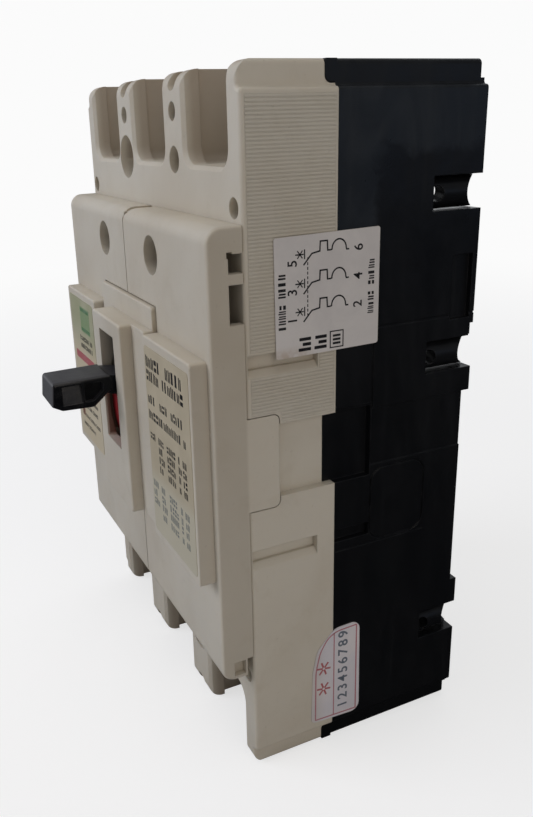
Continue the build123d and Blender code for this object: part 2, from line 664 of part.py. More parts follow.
# ----------------------------------------------------------------------------
# Terminals and conductors
# ----------------------------------------------------------------------------
TERM_END_Z = 80.8               # outer end of the terminal plates
CONDUCTOR_D0 = 10.2             # rear face of the inner conductor feet
NUT_FLATS = 13.0


def terminal(x, end, foot_end):
    """Terminal plate stepped back to an inner foot that reaches in to foot_end."""
    plate = block_mid(x, 9.5, TERM_D_SEAT, TERM_D_FRONT, *span(end, 60.3, TERM_END_Z))
    plate = soft(plate, [e for e in plate.edges().filter_by(Axis.Y)
                         if abs(abs(e.center().Z) - TERM_END_Z) < 0.1], 2.0)
    plate += block_mid(x, 6.0, CONDUCTOR_D0, TERM_D_FRONT, *span(end, 60.3, 63.1))
    plate += block_mid(x, 6.0, CONDUCTOR_D0, CONDUCTOR_D, *span(end, foot_end, 63.1))
    return plate - cyl_y(TERM_HOLE_R, x, end * TERM_HOLE_Z, TERM_D_SEAT - 1, TERM_D_FRONT + 1)


def terminal_nut(x, end):
    """Hexagon nut, its corners trimmed to the pocket."""
    z, d0, d1 = end * TERM_HOLE_Z, 17.2, 23.7
    radius = NUT_FLATS / math.sqrt(3)
    hexagon = [(x + radius * math.cos(math.radians(60 * i)),
                z + radius * math.sin(math.radians(60 * i))) for i in range(6)]
    nut = prism_y(hexagon, d0, d1) - cyl_y(TERM_HOLE_R, x, z, d0 - 1, d1 + 1)
    return nut & block_mid(x, 6.6, 17, 24, z - 7, z + 7)


for row, end, foot_end in (("line", 1, 39.5), ("load", -1, 49.5)):
    save(row + "_terminals", [terminal(x, end, foot_end) for x in POLES])
    save(row + "_terminal_nuts", [terminal_nut(x, end) for x in POLES])

save("fixed_contact_tips", [prism_y(rect(x - 3.4, x + 3.4, 42.0, 49.4),
                                    CONDUCTOR_D, CONDUCTOR_D + 2.0, 0.8) for x in POLES])

# heater strips lie on the load conductors, bimetals are brazed to them
save("heater_strips", [block_mid(x, 5, CONDUCTOR_D, HEATER_D, -59.4, -28.0)
                       - cyl_y(1.6, x, -33.0, 12, 16) for x in POLES])

CALIBRATION_D = 52.0            # calibration screws, through the bimetal tips


def bimetal(x):
    foot_front = HEATER_D + 1.2
    strip = block_mid(x, 3.5, HEATER_D, foot_front, -58.0, -46.8)
    strip += block_mid(x, 3.5, HEATER_D, 54.6, -48.0, -46.8)
    strip += cyl_y(2.0, x, -54.0, foot_front, foot_front + 1.0)
    return strip - cyl_z(1.2, x, CALIBRATION_D, -50, -45)


def magnet_yoke(x):
    """Channel that straddles the bimetal, open upwards."""
    yoke = prism_z(rect(x - 9.0, x + 9.0, 20.0, 36.0), -56.0, -44.2, 0.6)
    return yoke - block_mid(x, 7.0, 19, 37, -53.6, -43.0)


def calibration_screw(x):
    """Slotted head at the lower end."""
    body = cyl_z(1.15, x, CALIBRATION_D, -51.4, -45.2)
    body += cyl_z(2.0, x, CALIBRATION_D, -51.4, -49.6)
    return body - block_mid(x, 2.2, CALIBRATION_D - 0.3, CALIBRATION_D + 0.3, -52, -50.8)


save("bimetals", [bimetal(x) for x in POLES])
save("magnet_yokes", [magnet_yoke(x) for x in POLES])
save("calibration_screws", [calibration_screw(x) for x in POLES])

# ----------------------------------------------------------------------------
# Arc chambers
# ----------------------------------------------------------------------------
PLATE_COUNT = 7
PLATE_D0 = 18.0                 # rear face of the first plate
PLATE_STEP = 4.3
PLATE_T = 1.4
# notched plate, (x from the pole centre, z)
ARC_PLATE = [(-9.0, 40.0), (-5.4, 40.0), (-4.4, 52.8), (4.4, 52.8),
             (5.4, 40.0), (9.0, 40.0), (9.0, 58.4), (-9.0, 58.4)]


def arc_plate(x, index):
    d0 = PLATE_D0 + PLATE_STEP * index
    return prism_y([(x + a, z) for a, z in ARC_PLATE], d0, d0 + PLATE_T)


def vent_grid(x):
    grid = block_mid(x, 9.8, 47.6, 55.6, 57.4, 58.3)
    for vent_x in VENTS_X:
        grid -= cyl_z(1.2, x + vent_x, VENT_D, 56, 60)
    return grid


save("arc_plates", [arc_plate(x, i) for x in POLES for i in range(PLATE_COUNT)])
save("arc_side_boards", [prism_x(rect(16.4, 46.4, 38.6, 58.6), *span(side, 9.05, 10.05, x), 0.8)
                         for x in POLES for side in SIDES])
save("arc_vent_grids", [vent_grid(x) for x in POLES])

# ----------------------------------------------------------------------------
# Mechanism frame and its pins
# ----------------------------------------------------------------------------
PLATE_X0, PLATE_X1 = 13.8, 15.3    # side plates, inner and outer face
PIN_END = 15.8                     # outer end of the pins
SPACER_R = 2.0
SPACERS = ((9.0, -14.0), (9.0, 24.0))
SIDE_PLATE = [(4.2, -20), (4.2, 29), (27, 38.0), (40.5, 38.2), (41.5, 22), (39, 6),
              (39, -10), (42, -24), (41.5, -33.6), (30, -33.6), (18, -23)]    # (d, z)


def side_plate(side):
    x0, x1 = span(side, PLATE_X0, PLATE_X1)
    ends = (x0 - 1, x1 + 1)
    bar_d, bar_z = BAR_PIVOT
    plate = prism_x(SIDE_PLATE, x0, x1, 2.0)
    # crossbar hole, open to the rear
    plate -= cyl_x(7.6, *BAR_PIVOT, *ends)
    plate -= block(*ends, 3, bar_d, bar_z - 3, bar_z + 3)
    holes = [(2.0, HANDLE_PIVOT), (1.75, CRADLE_PIVOT), (1.5, LATCH_PIVOT)]
    holes += [(SPACER_R, place) for place in SPACERS]
    holes.append((2.6, (28.0, 30.0)))
    for radius, place in holes:
        plate -= cyl_x(radius, *place, *ends)
    return plate


save("mechanism_side_plates", [side_plate(side) for side in SIDES])
save("frame_spacers", [cyl_x(SPACER_R, *place, -15.9, 15.9)
                       + cyl_x(3.0, *place, -PLATE_X0, PLATE_X0) for place in SPACERS])
save("cradle_pivot_pins", [cyl_x(1.7, *CRADLE_PIVOT, *span(side, 9.9, PIN_END))
                           for side in SIDES])
save("latch_pivot_pin", cyl_x(1.45, *LATCH_PIVOT, -PIN_END, PIN_END))
save("yoke_pivot_pins", [cyl_x(1.95, *HANDLE_PIVOT, *span(side, 11.8, PIN_END))
                         for side in SIDES])

# ----------------------------------------------------------------------------
# Cradle and latch: each two cheeks joined by bridges
# ----------------------------------------------------------------------------
CHEEK_X0, CHEEK_X1 = 10.2, 11.4
CRADLE_LINK_HOLE = (43.0, 18.0)    # upper link hole, cradle latched
# cheek outlines, (d, z) and corner radius
CRADLE_CHEEK = [
    (32.2, 31.0, 1.5), (33.4, 37.4, 1.5), (38.8, 37.4, 1.5), (46.2, 22.0, 3),
    (46.6, 10.0, 3), (43.4, -8.0, 3), (42.2, -16.0, 0.8), (41.0, -18.2, 0.8),
    (38.0, -18.0, 0.8), (38.2, -12.0, 3), (40.6, 6.0, 3), (40.2, 14.0, 3),
]
LATCH_CHEEK = [
    (33.4, -29.5, 1.2), (36.5, -26.0, 0.8), (38.6, -20.4, 0.5), (43.6, -20.4, 0.5),
    (43.6, -22.0, 0.5), (40.6, -24.0, 0.8), (40.2, -30.0, 0.8), (41.4, -33.4, 0.6),
    (38.6, -34.0, 0.6), (35.0, -32.2, 1.0),
]


def cheek(side, outline, holes):
    x0, x1 = span(side, CHEEK_X0, CHEEK_X1)
    plate = prism_x([(d, z) for d, z, _ in outline], x0, x1, [r for _, _, r in outline])
    for radius, place in holes:
        plate -= cyl_x(radius, *place, x0 - 1, x1 + 1)
    return plate


def make_cradle():
    holes = ((1.8, CRADLE_PIVOT), (1.9, CRADLE_LINK_HOLE))
    cradle = cheek(-1, CRADLE_CHEEK, holes) + cheek(1, CRADLE_CHEEK, holes)
    cradle += block(-CHEEK_X1, CHEEK_X1, 40.9, 42.1, -16.0, -10.5)
    return swing(cradle, CRADLE_PIVOT, CRADLE_TILT)


def make_latch():
    holes = ((1.55, LATCH_PIVOT),)
    latch = cheek(-1, LATCH_CHEEK, holes) + cheek(1, LATCH_CHEEK, holes)
    return (latch + block(-CHEEK_X1, CHEEK_X1, 39.0, 43.4, -21.6, -20.4)
            + block(-CHEEK_X1, CHEEK_X1, 39.0, 40.2, -33.0, -30.0))


save("cradle", make_cradle())
save("latch", make_latch())

# ----------------------------------------------------------------------------
# Toggle links
# ----------------------------------------------------------------------------
LOWER_LINK, UPPER_LINK = 11.5, 10.0    # lengths between pin centres
LINK_R = 3.0                           # round ends
ARM_LINK_HOLE = (22.0, 20.0)           # lower link pin on the centre arm, closed


def toggle_point(low, high):
    """Knee of the toggle between the link ends on the arm and on the cradle."""
    run, rise = high[0] - low[0], high[1] - low[1]
    reach = math.hypot(run, rise)
    knee = math.acos((LOWER_LINK ** 2 + reach ** 2 - UPPER_LINK ** 2) / (2 * LOWER_LINK * reach))
    angle = math.atan2(rise, run) - knee
    return (low[0] + LOWER_LINK * math.cos(angle), low[1] + LOWER_LINK * math.sin(angle))


ARM_LINK = turn_point(ARM_LINK_HOLE, BAR_PIVOT, -OPEN_DEG)
CRADLE_LINK = turn_point(CRADLE_LINK_HOLE, CRADLE_PIVOT, CRADLE_TILT)
TOGGLE = toggle_point(ARM_LINK, CRADLE_LINK)

save("lower_links", [link(ARM_LINK, TOGGLE, LINK_R, *span(side, 6.0, 7.2), 1.8, 1.7)
                     for side in SIDES])
save("toggle_pin", cyl_x(1.65, *TOGGLE, -9.6, 9.6))
save("upper_links", [link(TOGGLE, CRADLE_LINK, LINK_R, *span(side, 7.8, 9.0), 1.75, 1.9)
                     for side in SIDES])
save("lower_link_pin", cyl_x(1.7, *ARM_LINK, -7.6, 7.6))

# ----------------------------------------------------------------------------
# Crossbar and contact arms, drawn closed and turned open
# ----------------------------------------------------------------------------
ARM_PIN = (19.4, 6.0)
ARM_PIN_R = 1.6
ARM_HALF = 3.4
SPRING_Z = 11.6                 # contact springs
# (d, z) and corner radius
ARM_OUTLINE = [(17.6, 0.5, 0.8), (21.4, 0.5, 0.8), (21.4, 30.0, 4),
               (20.6, 50.0, 1.2), (17.8, 50.0, 0.6), (17.6, 30.0, 4)]
ARM_LUG = [(18.0, 14.6, 0), (21.4, 14.6, 0), (24.2, 17.2, 1.5), (25.4, 20.0, 2.5),
           (24.2, 23.4, 1.5), (21.4, 26.6, 0), (18.0, 26.6, 0)]
TIP_OUTLINE = [(15.3, 42.4, 0.8), (17.55, 41.8, 0), (17.55, 49.4, 0), (15.3, 48.8, 0.8)]
BRAID_OUTLINE = [(14.5, -33.4, 0.2), (16.0, -33.4, 0.4), (16.2, -27.0, 2), (15.0, -18.0, 3),
                 (16.8, -9.0, 2), (17.0, -1.8, 0.3), (14.9, -1.6, 0.3), (14.9, -9.0, 2),
                 (13.2, -18.0, 3), (14.5, -27.0, 1)]


def profile(outline, x, half):
    """Extrude a table of (d, z, radius) over x +- half."""
    return prism_x([(d, z) for d, z, _ in outline], x - half, x + half,
                   [r for _, _, r in outline])


def opened(shape):
    return swing(shape, BAR_PIVOT, -OPEN_DEG)


def make_crossbar():
    bar = cyl_x(6.4, *BAR_PIVOT, -42.0, 42.0)
    for x in POLES:
        bar += prism_x(rect(11.0, 22.0, 2.0, 15.0), x - 5.6, x + 5.6, 1.2)
    # arm slot, spring pocket and pin hole of each pole
    for x in POLES:
        bar -= block_mid(x, 3.8, 17.2, 24.0, -2, 18)
        bar -= cyl_y(2.9, x, SPRING_Z, 12.3, 20.0)
        bar -= cyl_x(ARM_PIN_R, *ARM_PIN, x - 7, x + 7)
    return opened(bar)


def moving_arm(x):
    arm = profile(ARM_OUTLINE, x, ARM_HALF)
    if x == 0:
        # only the centre arm carries the lug for the lower links
        arm += profile(ARM_LUG, x, ARM_HALF)
        arm -= cyl_x(1.75, *ARM_LINK_HOLE, -6, 6)
    arm -= cyl_x(ARM_PIN_R + 0.05, *ARM_PIN, x - 7, x + 7)
    return opened(arm)


save("crossbar", make_crossbar())
save("moving_arms", [moving_arm(x) for x in POLES])
save("moving_contact_tips", [opened(profile(TIP_OUTLINE, x, 3.0)) for x in POLES])
save("contact_springs", [opened(coil((x, -12.9, SPRING_Z), (x, -17.0, SPRING_Z), 2.2, 0.35, 3))
                         for x in POLES])
save("arm_pins", [opened(cyl_x(ARM_PIN_R - 0.02, *ARM_PIN, x - 5.5, x + 5.5)) for x in POLES])

# flexible braids run from the arm tails to the heater strips
save("flexible_braids", [profile(BRAID_OUTLINE, x, 3.0) for x in POLES])


# ----------------------------------------------------------------------------
# Trip bar
# ----------------------------------------------------------------------------
def make_trip_bar():
    bar = cyl_x(3.0, *TRIP_PIVOT, -47.5, 47.5)
    # per pole: a paddle to the front and an arm to the rear
    for x in POLES:
        bar += block_mid(x, 4.0, TRIP_PIVOT[0], 55.0, -43.0, -41.4)
        bar += prism_x([(46.5, -43.4), (46.5, -39.6), (38.6, -39.2), (38.6, -40.6)],
                       x - 7.6, x - 5.4)
    # latch finger
    bar += prism_x([(47.5, -43.0), (48.5, -39.2), (41.0, -36.2), (38.9, -36.2), (38.9, -37.6)],
                   9.8, 11.6, [0, 0, 0.4, 0.4, 0.4])
    # button arm
    bar += prism_x([(46.0, -41.0), (50.5, -41.0), (53.2, -24.0),
                    (53.0, -15.6), (50.6, -15.6), (50.4, -24.0)],
                   BUTTON_X - 0.7, BUTTON_X + 0.7, [0, 0, 1, 0.4, 0.4, 1])
    return bar


save("trip_bar", make_trip_bar())

# ----------------------------------------------------------------------------
# Armatures: plates hinged above the magnet yokes, with posts and leaf springs
# ----------------------------------------------------------------------------
HINGE_R = 1.3


def armature(x):
    plate = block_mid(x, 8.4, 21.0, 36.4, -41.4, -40.0)
    plate += block(x - 8.4, x - 4.6, 36.0, 38.0, -41.4, -40.0)
    plate += cyl_x(HINGE_R, *ARMATURE_PIVOT, x - 9.6, x + 9.6)
    plate += block_mid(x, 8.4, 19.9, 22, -41.3, -40.1)
    plate -= block_mid(x, 3.9, 17, 24, -43, -38)
    # hinge stubs on both sides of the gap
    return (plate + cyl_x(HINGE_R, *ARMATURE_PIVOT, x - 10.9, x - 4.4)
            + cyl_x(HINGE_R, *ARMATURE_PIVOT, x + 4.4, x + 10.9))


def hinge_post(x, side):
    post = prism_x([(4.05, -45.0), (23.0, -43.5), (23.0, -38.0), (4.05, -36.0)],
                   *span(side, 9.9, 11.7, x), [0, 1, 1, 0])
    return post - cyl_x(HINGE_R + 0.06, *ARMATURE_PIVOT, x - 11.1, x + 11.1)


RETURN_LEAF = [(4.05, -37.0), (33.0, -39.7), (33.0, -39.3),
               (4.5, -36.6), (4.5, -33.0), (4.05, -33.0)]
LATCH_LEAF = [(4.05, -30.0), (33.0, -32.2), (33.0, -31.8),
              (4.5, -29.6), (4.5, -26.0), (4.05, -26.0)]
TRIP_LEAF = [(56.0, -37.0), (56.5, -37.0), (56.5, -36.0),
             (45.0, -36.9), (45.0, -37.4), (55.0, -37.4)]

for place, x in zip(("left", "centre", "right"), POLES):
    save("armature_" + place, armature(x))
save("armature_hinge_posts", [hinge_post(x, side) for x in POLES for side in SIDES])
save("armature_return_leaves", [prism_x(RETURN_LEAF, x + 5.8, x + 7.8) for x in POLES])
save("latch_spring", prism_x(LATCH_LEAF, 10.3, 12.3))
save("trip_bar_spring", prism_x(TRIP_LEAF, 20.5, 23.0))


# ----------------------------------------------------------------------------
# Trip button and its spring
# ----------------------------------------------------------------------------
def make_button():
    front = 70.6
    button = cyl_y(2.3, BUTTON_X, BUTTON_Z, 66.8, front)
    button = soft(button, [e for e in button.edges() if abs(e.center().Y + front) < 0.01], 0.5)
    return button + cyl_y(0.85, BUTTON_X, BUTTON_Z, 54.2, 67.0)


save("trip_button", make_button())
save("trip_button_spring",
     coil((BUTTON_X, -64.25, BUTTON_Z), (BUTTON_X, -66.45, BUTTON_Z), 1.7, 0.2, 3))

# ----------------------------------------------------------------------------
# Handle, red flag on its shutter, steel yoke and main springs
# ----------------------------------------------------------------------------
NECK_HALF = 5.2                 # half width of neck and stem
GRIP = [(D_HANDLE, 4.9), (D_HANDLE - 0.6, 11.0), (76.0, 11.2), (76.0, 6.9),
        (77.4, 5.9), (80.8, 3.1), (89.0, 3.4)]
NECK = [(78.5, 11.1), (68.5, 9.9), (68.5, 3.6), (76.0, 5.9), (78.5, 6.6)]
STEM = [(70.0, 8.6), (70.0, 3.6), (61.2, 2.0), (61.2, 6.9)]
GRIP_RECESS = [(83.2, 4.9), (83.2, 9.8), (78.2, 9.8), (78.2, 7.3), (80.9, 4.9)]
YOKE_R = 28.5                   # outer radius of the yoke
YOKE_TILT = 8.0                 # the yoke leans up with the handle
SPRING_X = 3.4                  # main springs


def make_handle():
    grip = prism_x(GRIP, -6.0, 6.0)
    grip = soft(grip, [e for e in grip.edges()
                       if e.center().Y < -79 or abs(e.center().Z - 11.1) < 0.3], 0.9)
    neck = prism_x(NECK, -NECK_HALF, NECK_HALF)
    shutter = sector(R_SHUTTER - 1.6, R_SHUTTER, -34, 40, -8.6, 8.6)
    stem = prism_x(STEM, -NECK_HALF, NECK_HALF)
    foot = sector(28.6, 30.2, -2, 18, -8.8, 8.8)
    handle = grip + neck + shutter + stem + foot
    # recesses in both sides of the grip
    for side in SIDES:
        handle -= prism_x(GRIP_RECESS, *span(side, 4.4, 7), [0.3, 0.3, 0.8, 0.4, 0.6])
        handle -= prism_y([(side * 5.6, 4.9), (side * 7.0, 4.9),
                           (side * 7.0, 9.8), (side * 4.1, 9.8)], 83.7, 88.8)
    return handle


def make_yoke():
    yoke = sector(27.2, YOKE_R, -3, 19, -13.2, 13.2)
    leg_outline = [(28.6, 2.2), (30.6, -3.4), (34.0, -3.2),
                   turn_point((60.4, -5.0), HANDLE_PIVOT, YOKE_TILT),
                   turn_point((60.2, 5.0), HANDLE_PIVOT, YOKE_TILT), (33.0, 3.8)]
    for side in SIDES:
        x0, x1 = span(side, 12.0, 13.2)
        leg = prism_x(leg_outline, x0, x1, [2, 2, 1, 0, 0, 1])
        leg = leg & cyl_x(YOKE_R, *HANDLE_PIVOT, x0 - 1, x1 + 1)
        yoke = yoke + leg
    return yoke - cyl_x(2.0, *HANDLE_PIVOT, -14, 14)


def main_springs():
    """Two coils from just off the toggle pin to just short of the yoke's bridge."""
    anchor = turn_point((58.6, 0.0), HANDLE_PIVOT, YOKE_TILT)
    run, rise = anchor[0] - TOGGLE[0], anchor[1] - TOGGLE[1]
    length = math.hypot(run, rise)

    def point(side, along):
        return (side * SPRING_X, -(TOGGLE[0] + run / length * along),
                TOGGLE[1] + rise / length * along)

    return [coil(point(side, 2.2), point(side, length - 0.6), 1.6, 0.38, 8) for side in SIDES]


save("handle", make_handle())
save("position_flag", sector(R_SHUTTER + 0.02, R_SHUTTER + 0.4, -33.5, 3.2, -7.4, 7.4))
save("handle_yoke", make_yoke())
save("main_springs", main_springs())
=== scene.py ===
import json
import math
import random

import bmesh
import bpy
from mathutils import Matrix, Vector
from mathutils.bvhtree import BVHTree


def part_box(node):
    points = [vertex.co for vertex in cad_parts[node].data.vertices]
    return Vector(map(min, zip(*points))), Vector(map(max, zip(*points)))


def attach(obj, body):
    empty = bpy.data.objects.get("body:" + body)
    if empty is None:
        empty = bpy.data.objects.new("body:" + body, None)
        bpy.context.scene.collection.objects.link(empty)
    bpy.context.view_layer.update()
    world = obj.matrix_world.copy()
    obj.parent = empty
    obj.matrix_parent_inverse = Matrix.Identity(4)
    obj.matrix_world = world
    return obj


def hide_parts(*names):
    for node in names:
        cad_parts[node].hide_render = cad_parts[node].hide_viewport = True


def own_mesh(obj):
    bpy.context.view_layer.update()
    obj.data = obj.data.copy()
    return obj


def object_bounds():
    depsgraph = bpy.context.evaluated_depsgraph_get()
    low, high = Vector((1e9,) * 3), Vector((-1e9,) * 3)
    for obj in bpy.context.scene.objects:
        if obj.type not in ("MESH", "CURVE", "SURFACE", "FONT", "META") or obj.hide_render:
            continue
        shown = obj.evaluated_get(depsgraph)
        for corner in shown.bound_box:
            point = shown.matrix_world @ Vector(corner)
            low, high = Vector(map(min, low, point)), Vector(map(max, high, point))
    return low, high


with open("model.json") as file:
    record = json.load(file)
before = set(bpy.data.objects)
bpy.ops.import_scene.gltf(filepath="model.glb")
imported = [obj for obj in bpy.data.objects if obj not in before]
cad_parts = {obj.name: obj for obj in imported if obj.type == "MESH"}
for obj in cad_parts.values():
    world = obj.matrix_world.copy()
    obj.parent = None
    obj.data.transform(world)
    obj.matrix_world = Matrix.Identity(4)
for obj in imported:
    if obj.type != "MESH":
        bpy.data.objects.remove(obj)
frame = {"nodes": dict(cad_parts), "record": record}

LOW0, HIGH0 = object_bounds()
NODES = frame["nodes"]
MM = 0.001
HOUSING = "housing"


def srgb(r, g, b):
    """An 0..255 display colour as a linear RGBA tuple."""
    def f(c):
        c = c / 255.0
        return c / 12.92 if c <= 0.04045 else ((c + 0.055) / 1.055) ** 2.4
    return (f(r), f(g), f(b), 1.0)


# ----------------------------------------------------------------------------
# Node graph helper
# ----------------------------------------------------------------------------
class Graph:
    def __init__(self, name):
        self.mat = bpy.data.materials.new(name)
        self.mat.use_nodes = True
        self.nt = self.mat.node_tree
        self.nt.nodes.clear()
        self.out = self.nt.nodes.new("ShaderNodeOutputMaterial")
        self.coord = self.nt.nodes.new("ShaderNodeTexCoord").outputs["Object"]

    def node(self, kind, **props):
        n = self.nt.nodes.new(kind)
        for k, v in props.items():
            setattr(n, k, v)
        return n

    def put(self, socket, value):
        if hasattr(value, "links") or isinstance(value, bpy.types.NodeSocket):
            self.nt.links.new(value, socket)
        else:
            socket.default_value = value

    def math(self, op, a, b=0.0, c=0.0, clamp=False):
        n = self.node("ShaderNodeMath", operation=op, use_clamp=clamp)
        self.put(n.inputs[0], a)
        self.put(n.inputs[1], b)
        self.put(n.inputs[2], c)
        return n.outputs[0]

    def mapped(self, scale=(1, 1, 1), rot=(0, 0, 0), loc=(0, 0, 0)):
        n = self.node("ShaderNodeMapping")
        self.put(n.inputs["Vector"], self.coord)
        n.inputs["Scale"].default_value = scale
        n.inputs["Rotation"].default_value = rot
        n.inputs["Location"].default_value = loc
        return n.outputs[0]

    def noise(self, scale, detail=3.0, rough=0.55, distort=0.0, vec=None):
        n = self.node("ShaderNodeTexNoise")
        self.put(n.inputs["Vector"], self.coord if vec is None else vec)
        n.inputs["Scale"].default_value = scale
        n.inputs["Detail"].default_value = detail
        n.inputs["Roughness"].default_value = rough
        n.inputs["Distortion"].default_value = distort
        return n.outputs["Fac"]

    def voronoi(self, scale, feature="F1", vec=None):
        n = self.node("ShaderNodeTexVoronoi", feature=feature)
        self.put(n.inputs["Vector"], self.coord if vec is None else vec)
        n.inputs["Scale"].default_value = scale
        return n.outputs["Distance"]

    def span(self, fac, a, b, to_a=0.0, to_b=1.0):
        n = self.node("ShaderNodeMapRange", clamp=True)
        n.interpolation_type = "SMOOTHSTEP"
        self.put(n.inputs["Value"], fac)
        n.inputs["From Min"].default_value = a
        n.inputs["From Max"].default_value = b
        self.put(n.inputs["To Min"], to_a)
        self.put(n.inputs["To Max"], to_b)
        return n.outputs["Result"]

    def mix(self, fac, a, b, blend="MIX"):
        n = self.node("ShaderNodeMix", data_type="RGBA", blend_type=blend)
        self.put(n.inputs[0], fac)
        self.put(n.inputs[6], a)
        self.put(n.inputs[7], b)
        return n.outputs[2]

    def xyz(self, source=None):
        n = self.node("ShaderNodeSeparateXYZ")
        self.put(n.inputs[0], self.coord if source is None else source)
        return n.outputs

    def bump(self, height, strength, distance, normal=None):
        n = self.node("ShaderNodeBump")
        self.put(n.inputs["Height"], height)
        n.inputs["Strength"].default_value = strength
        n.inputs["Distance"].default_value = distance
        if normal is not None:
            self.put(n.inputs["Normal"], normal)
        return n.outputs[0]

    def bevel(self, radius, samples=4):
        n = self.node("ShaderNodeBevel", samples=samples)
        n.inputs["Radius"].default_value = radius
        return n.outputs[0]

    def edge(self, bevel_normal, lo=0.02, hi=0.22):
        g = self.node("ShaderNodeNewGeometry")
        d = self.node("ShaderNodeVectorMath", operation="DOT_PRODUCT")
        self.put(d.inputs[0], g.outputs["Normal"])
        self.put(d.inputs[1], bevel_normal)
        return self.span(self.math("SUBTRACT", 1.0, d.outputs["Value"]), lo, hi)

    def hollow(self, distance, samples=6):
        n = self.node("ShaderNodeAmbientOcclusion", samples=samples)
        n.inputs["Distance"].default_value = distance
        return self.math("SUBTRACT", 1.0, n.outputs["AO"], clamp=True)

    def shade(self, color, rough, metallic=0.0, spec=0.5, normal=None, coat=0.0, coat_rough=0.1, **more):
        n = self.node("ShaderNodeBsdfPrincipled")
        self.put(n.inputs["Base Color"], color)
        self.put(n.inputs["Roughness"], rough)
        self.put(n.inputs["Metallic"], metallic)
        self.put(n.inputs["Specular IOR Level"], spec)
        self.put(n.inputs["Coat Weight"], coat)
        self.put(n.inputs["Coat Roughness"], coat_rough)
        if normal is not None:
            self.put(n.inputs["Normal"], normal)
        for k, v in more.items():
            self.put(n.inputs[k.replace("_", " ")], v)
        self.nt.links.new(n.outputs[0], self.out.inputs["Surface"])
        return self.mat


# ----------------------------------------------------------------------------
# Materials
# ----------------------------------------------------------------------------
def ivory_moulding():
    """Satin thermoset cover: slow tone drift, fine spark texture, rubbed edges, soiling and painted shade in the
    corners, painted shade inside the handle window, the terminal openings and on the cover flanks.
    """
    g = Graph("ivory_moulding")
    tone = g.noise(18.0, 4.0, 0.6, 0.4)
    cloud = g.noise(95.0, 5.0, 0.65, 0.8)
    speck = g.noise(900.0, 2.0, 0.5)
    a, b = srgb(219, 212, 197), srgb(210, 201, 184)
    col = g.mix(g.span(tone, 0.35, 0.68), a, b)
    col = g.mix(g.math("MULTIPLY", g.span(cloud, 0.5, 0.78), 0.22), col, srgb(190, 178, 155))
    col = g.mix(g.math("MULTIPLY", g.span(speck, 0.68, 0.8), 0.16), col, srgb(150, 137, 115))
    bev = g.bevel(0.00035, 4)
    edge = g.edge(bev)
    worn = g.math("MULTIPLY", edge, g.span(g.noise(160.0, 3.0), 0.4, 0.62))
    col = g.mix(g.math("MULTIPLY", worn, 0.35), col, srgb(236, 230, 218))
    # soiling and painted shade: the cover is browned and darkened in its corners and crevices by an ambient-occlusion
    # mask
    crevice_dirt_and_shade = g.hollow(0.0032, 5)
    grime_and_shade = g.math("MULTIPLY", g.span(crevice_dirt_and_shade, 0.28, 0.95), g.span(g.noise(60.0, 4.0), 0.25, 0.7, 0.45, 1.0))
    col = g.mix(g.math("MULTIPLY", grime_and_shade, 0.55), col, srgb(128, 110, 84))
    x, y, z = g.xyz()
    # the handle window: painted shade on its walls, dark brown below the handle with a painted reddish bounce from the
    # flag, greyer above it
    inside = g.math("MULTIPLY", g.span(g.math("ABSOLUTE", x), 0.0097, 0.0095), g.span(y, -0.0746, -0.0740))
    low = g.math("MULTIPLY", inside, g.math("MULTIPLY", g.span(z, 0.009, 0.005), g.math("MULTIPLY", g.span(z, -0.0097, -0.0090), g.span(y, -0.0560, -0.0570))))
    col = g.mix(g.math("MULTIPLY", low, g.span(y, -0.0700, -0.0675, 0.90, 0.97)), col, g.mix(g.span(y, -0.0700, -0.0670), srgb(104, 62, 50), srgb(70, 40, 34)))
    # painted shade on the window walls above the handle
    high = g.math("MULTIPLY", g.math("MULTIPLY", inside, g.span(z, 0.008, 0.011)), g.math("MULTIPLY", g.span(z, 0.0212, 0.0206), g.span(y, -0.0658, -0.0662)))
    col = g.mix(g.math("MULTIPLY", g.math("MULTIPLY", high, g.span(y, -0.0735, -0.0700)), 0.6), col, srgb(96, 92, 78))
    # painted shade: the terminal openings darker and browner inside, and the side faces of the raised covers a little
    # darker
    opening_shade = g.math("MULTIPLY", g.span(g.math("ABSOLUTE", z), 0.0626, 0.0632), g.span(y, -0.0592, -0.0570))
    opening_shade = g.math("MULTIPLY", opening_shade, g.span(g.math("ABSOLUTE", x), 0.0497, 0.0493))
    col = g.mix(g.math("MULTIPLY", opening_shade, 0.34), col, srgb(140, 108, 78))
    # painted shade on the side-facing faces towards the front, where the side light is dim
    geo = g.node("ShaderNodeNewGeometry")
    flank = g.math("MULTIPLY", g.span(g.math("ABSOLUTE", g.xyz(geo.outputs["Normal"])[0]), 0.7, 0.95), g.span(y, -0.0596, -0.0606))
    col = g.mix(g.math("MULTIPLY", flank, 0.24), col, srgb(138, 124, 104))
    smear = g.noise(42.0, 4.0, 0.6, 1.2, g.mapped((1.0, 1.0, 0.35)))
    rough = g.math("ADD", g.span(smear, 0.3, 0.7, 0.4, 0.56), g.math("MULTIPLY", speck, 0.08))
    grain = g.noise(2600.0, 3.0, 0.6)
    pits = g.voronoi(1500.0)
    n = g.bump(pits, 0.05, 0.0002, bev)
    n = g.bump(grain, 0.1, 0.00025, n)
    wave = g.noise(30.0, 2.0)
    n = g.bump(wave, 0.05, 0.004, n)
    return g.shade(col, rough, 0.0, 0.42, n, Subsurface_Weight=0.06, Subsurface_Scale=0.0015,
                   Subsurface_Radius=(1.0, 0.7, 0.45))


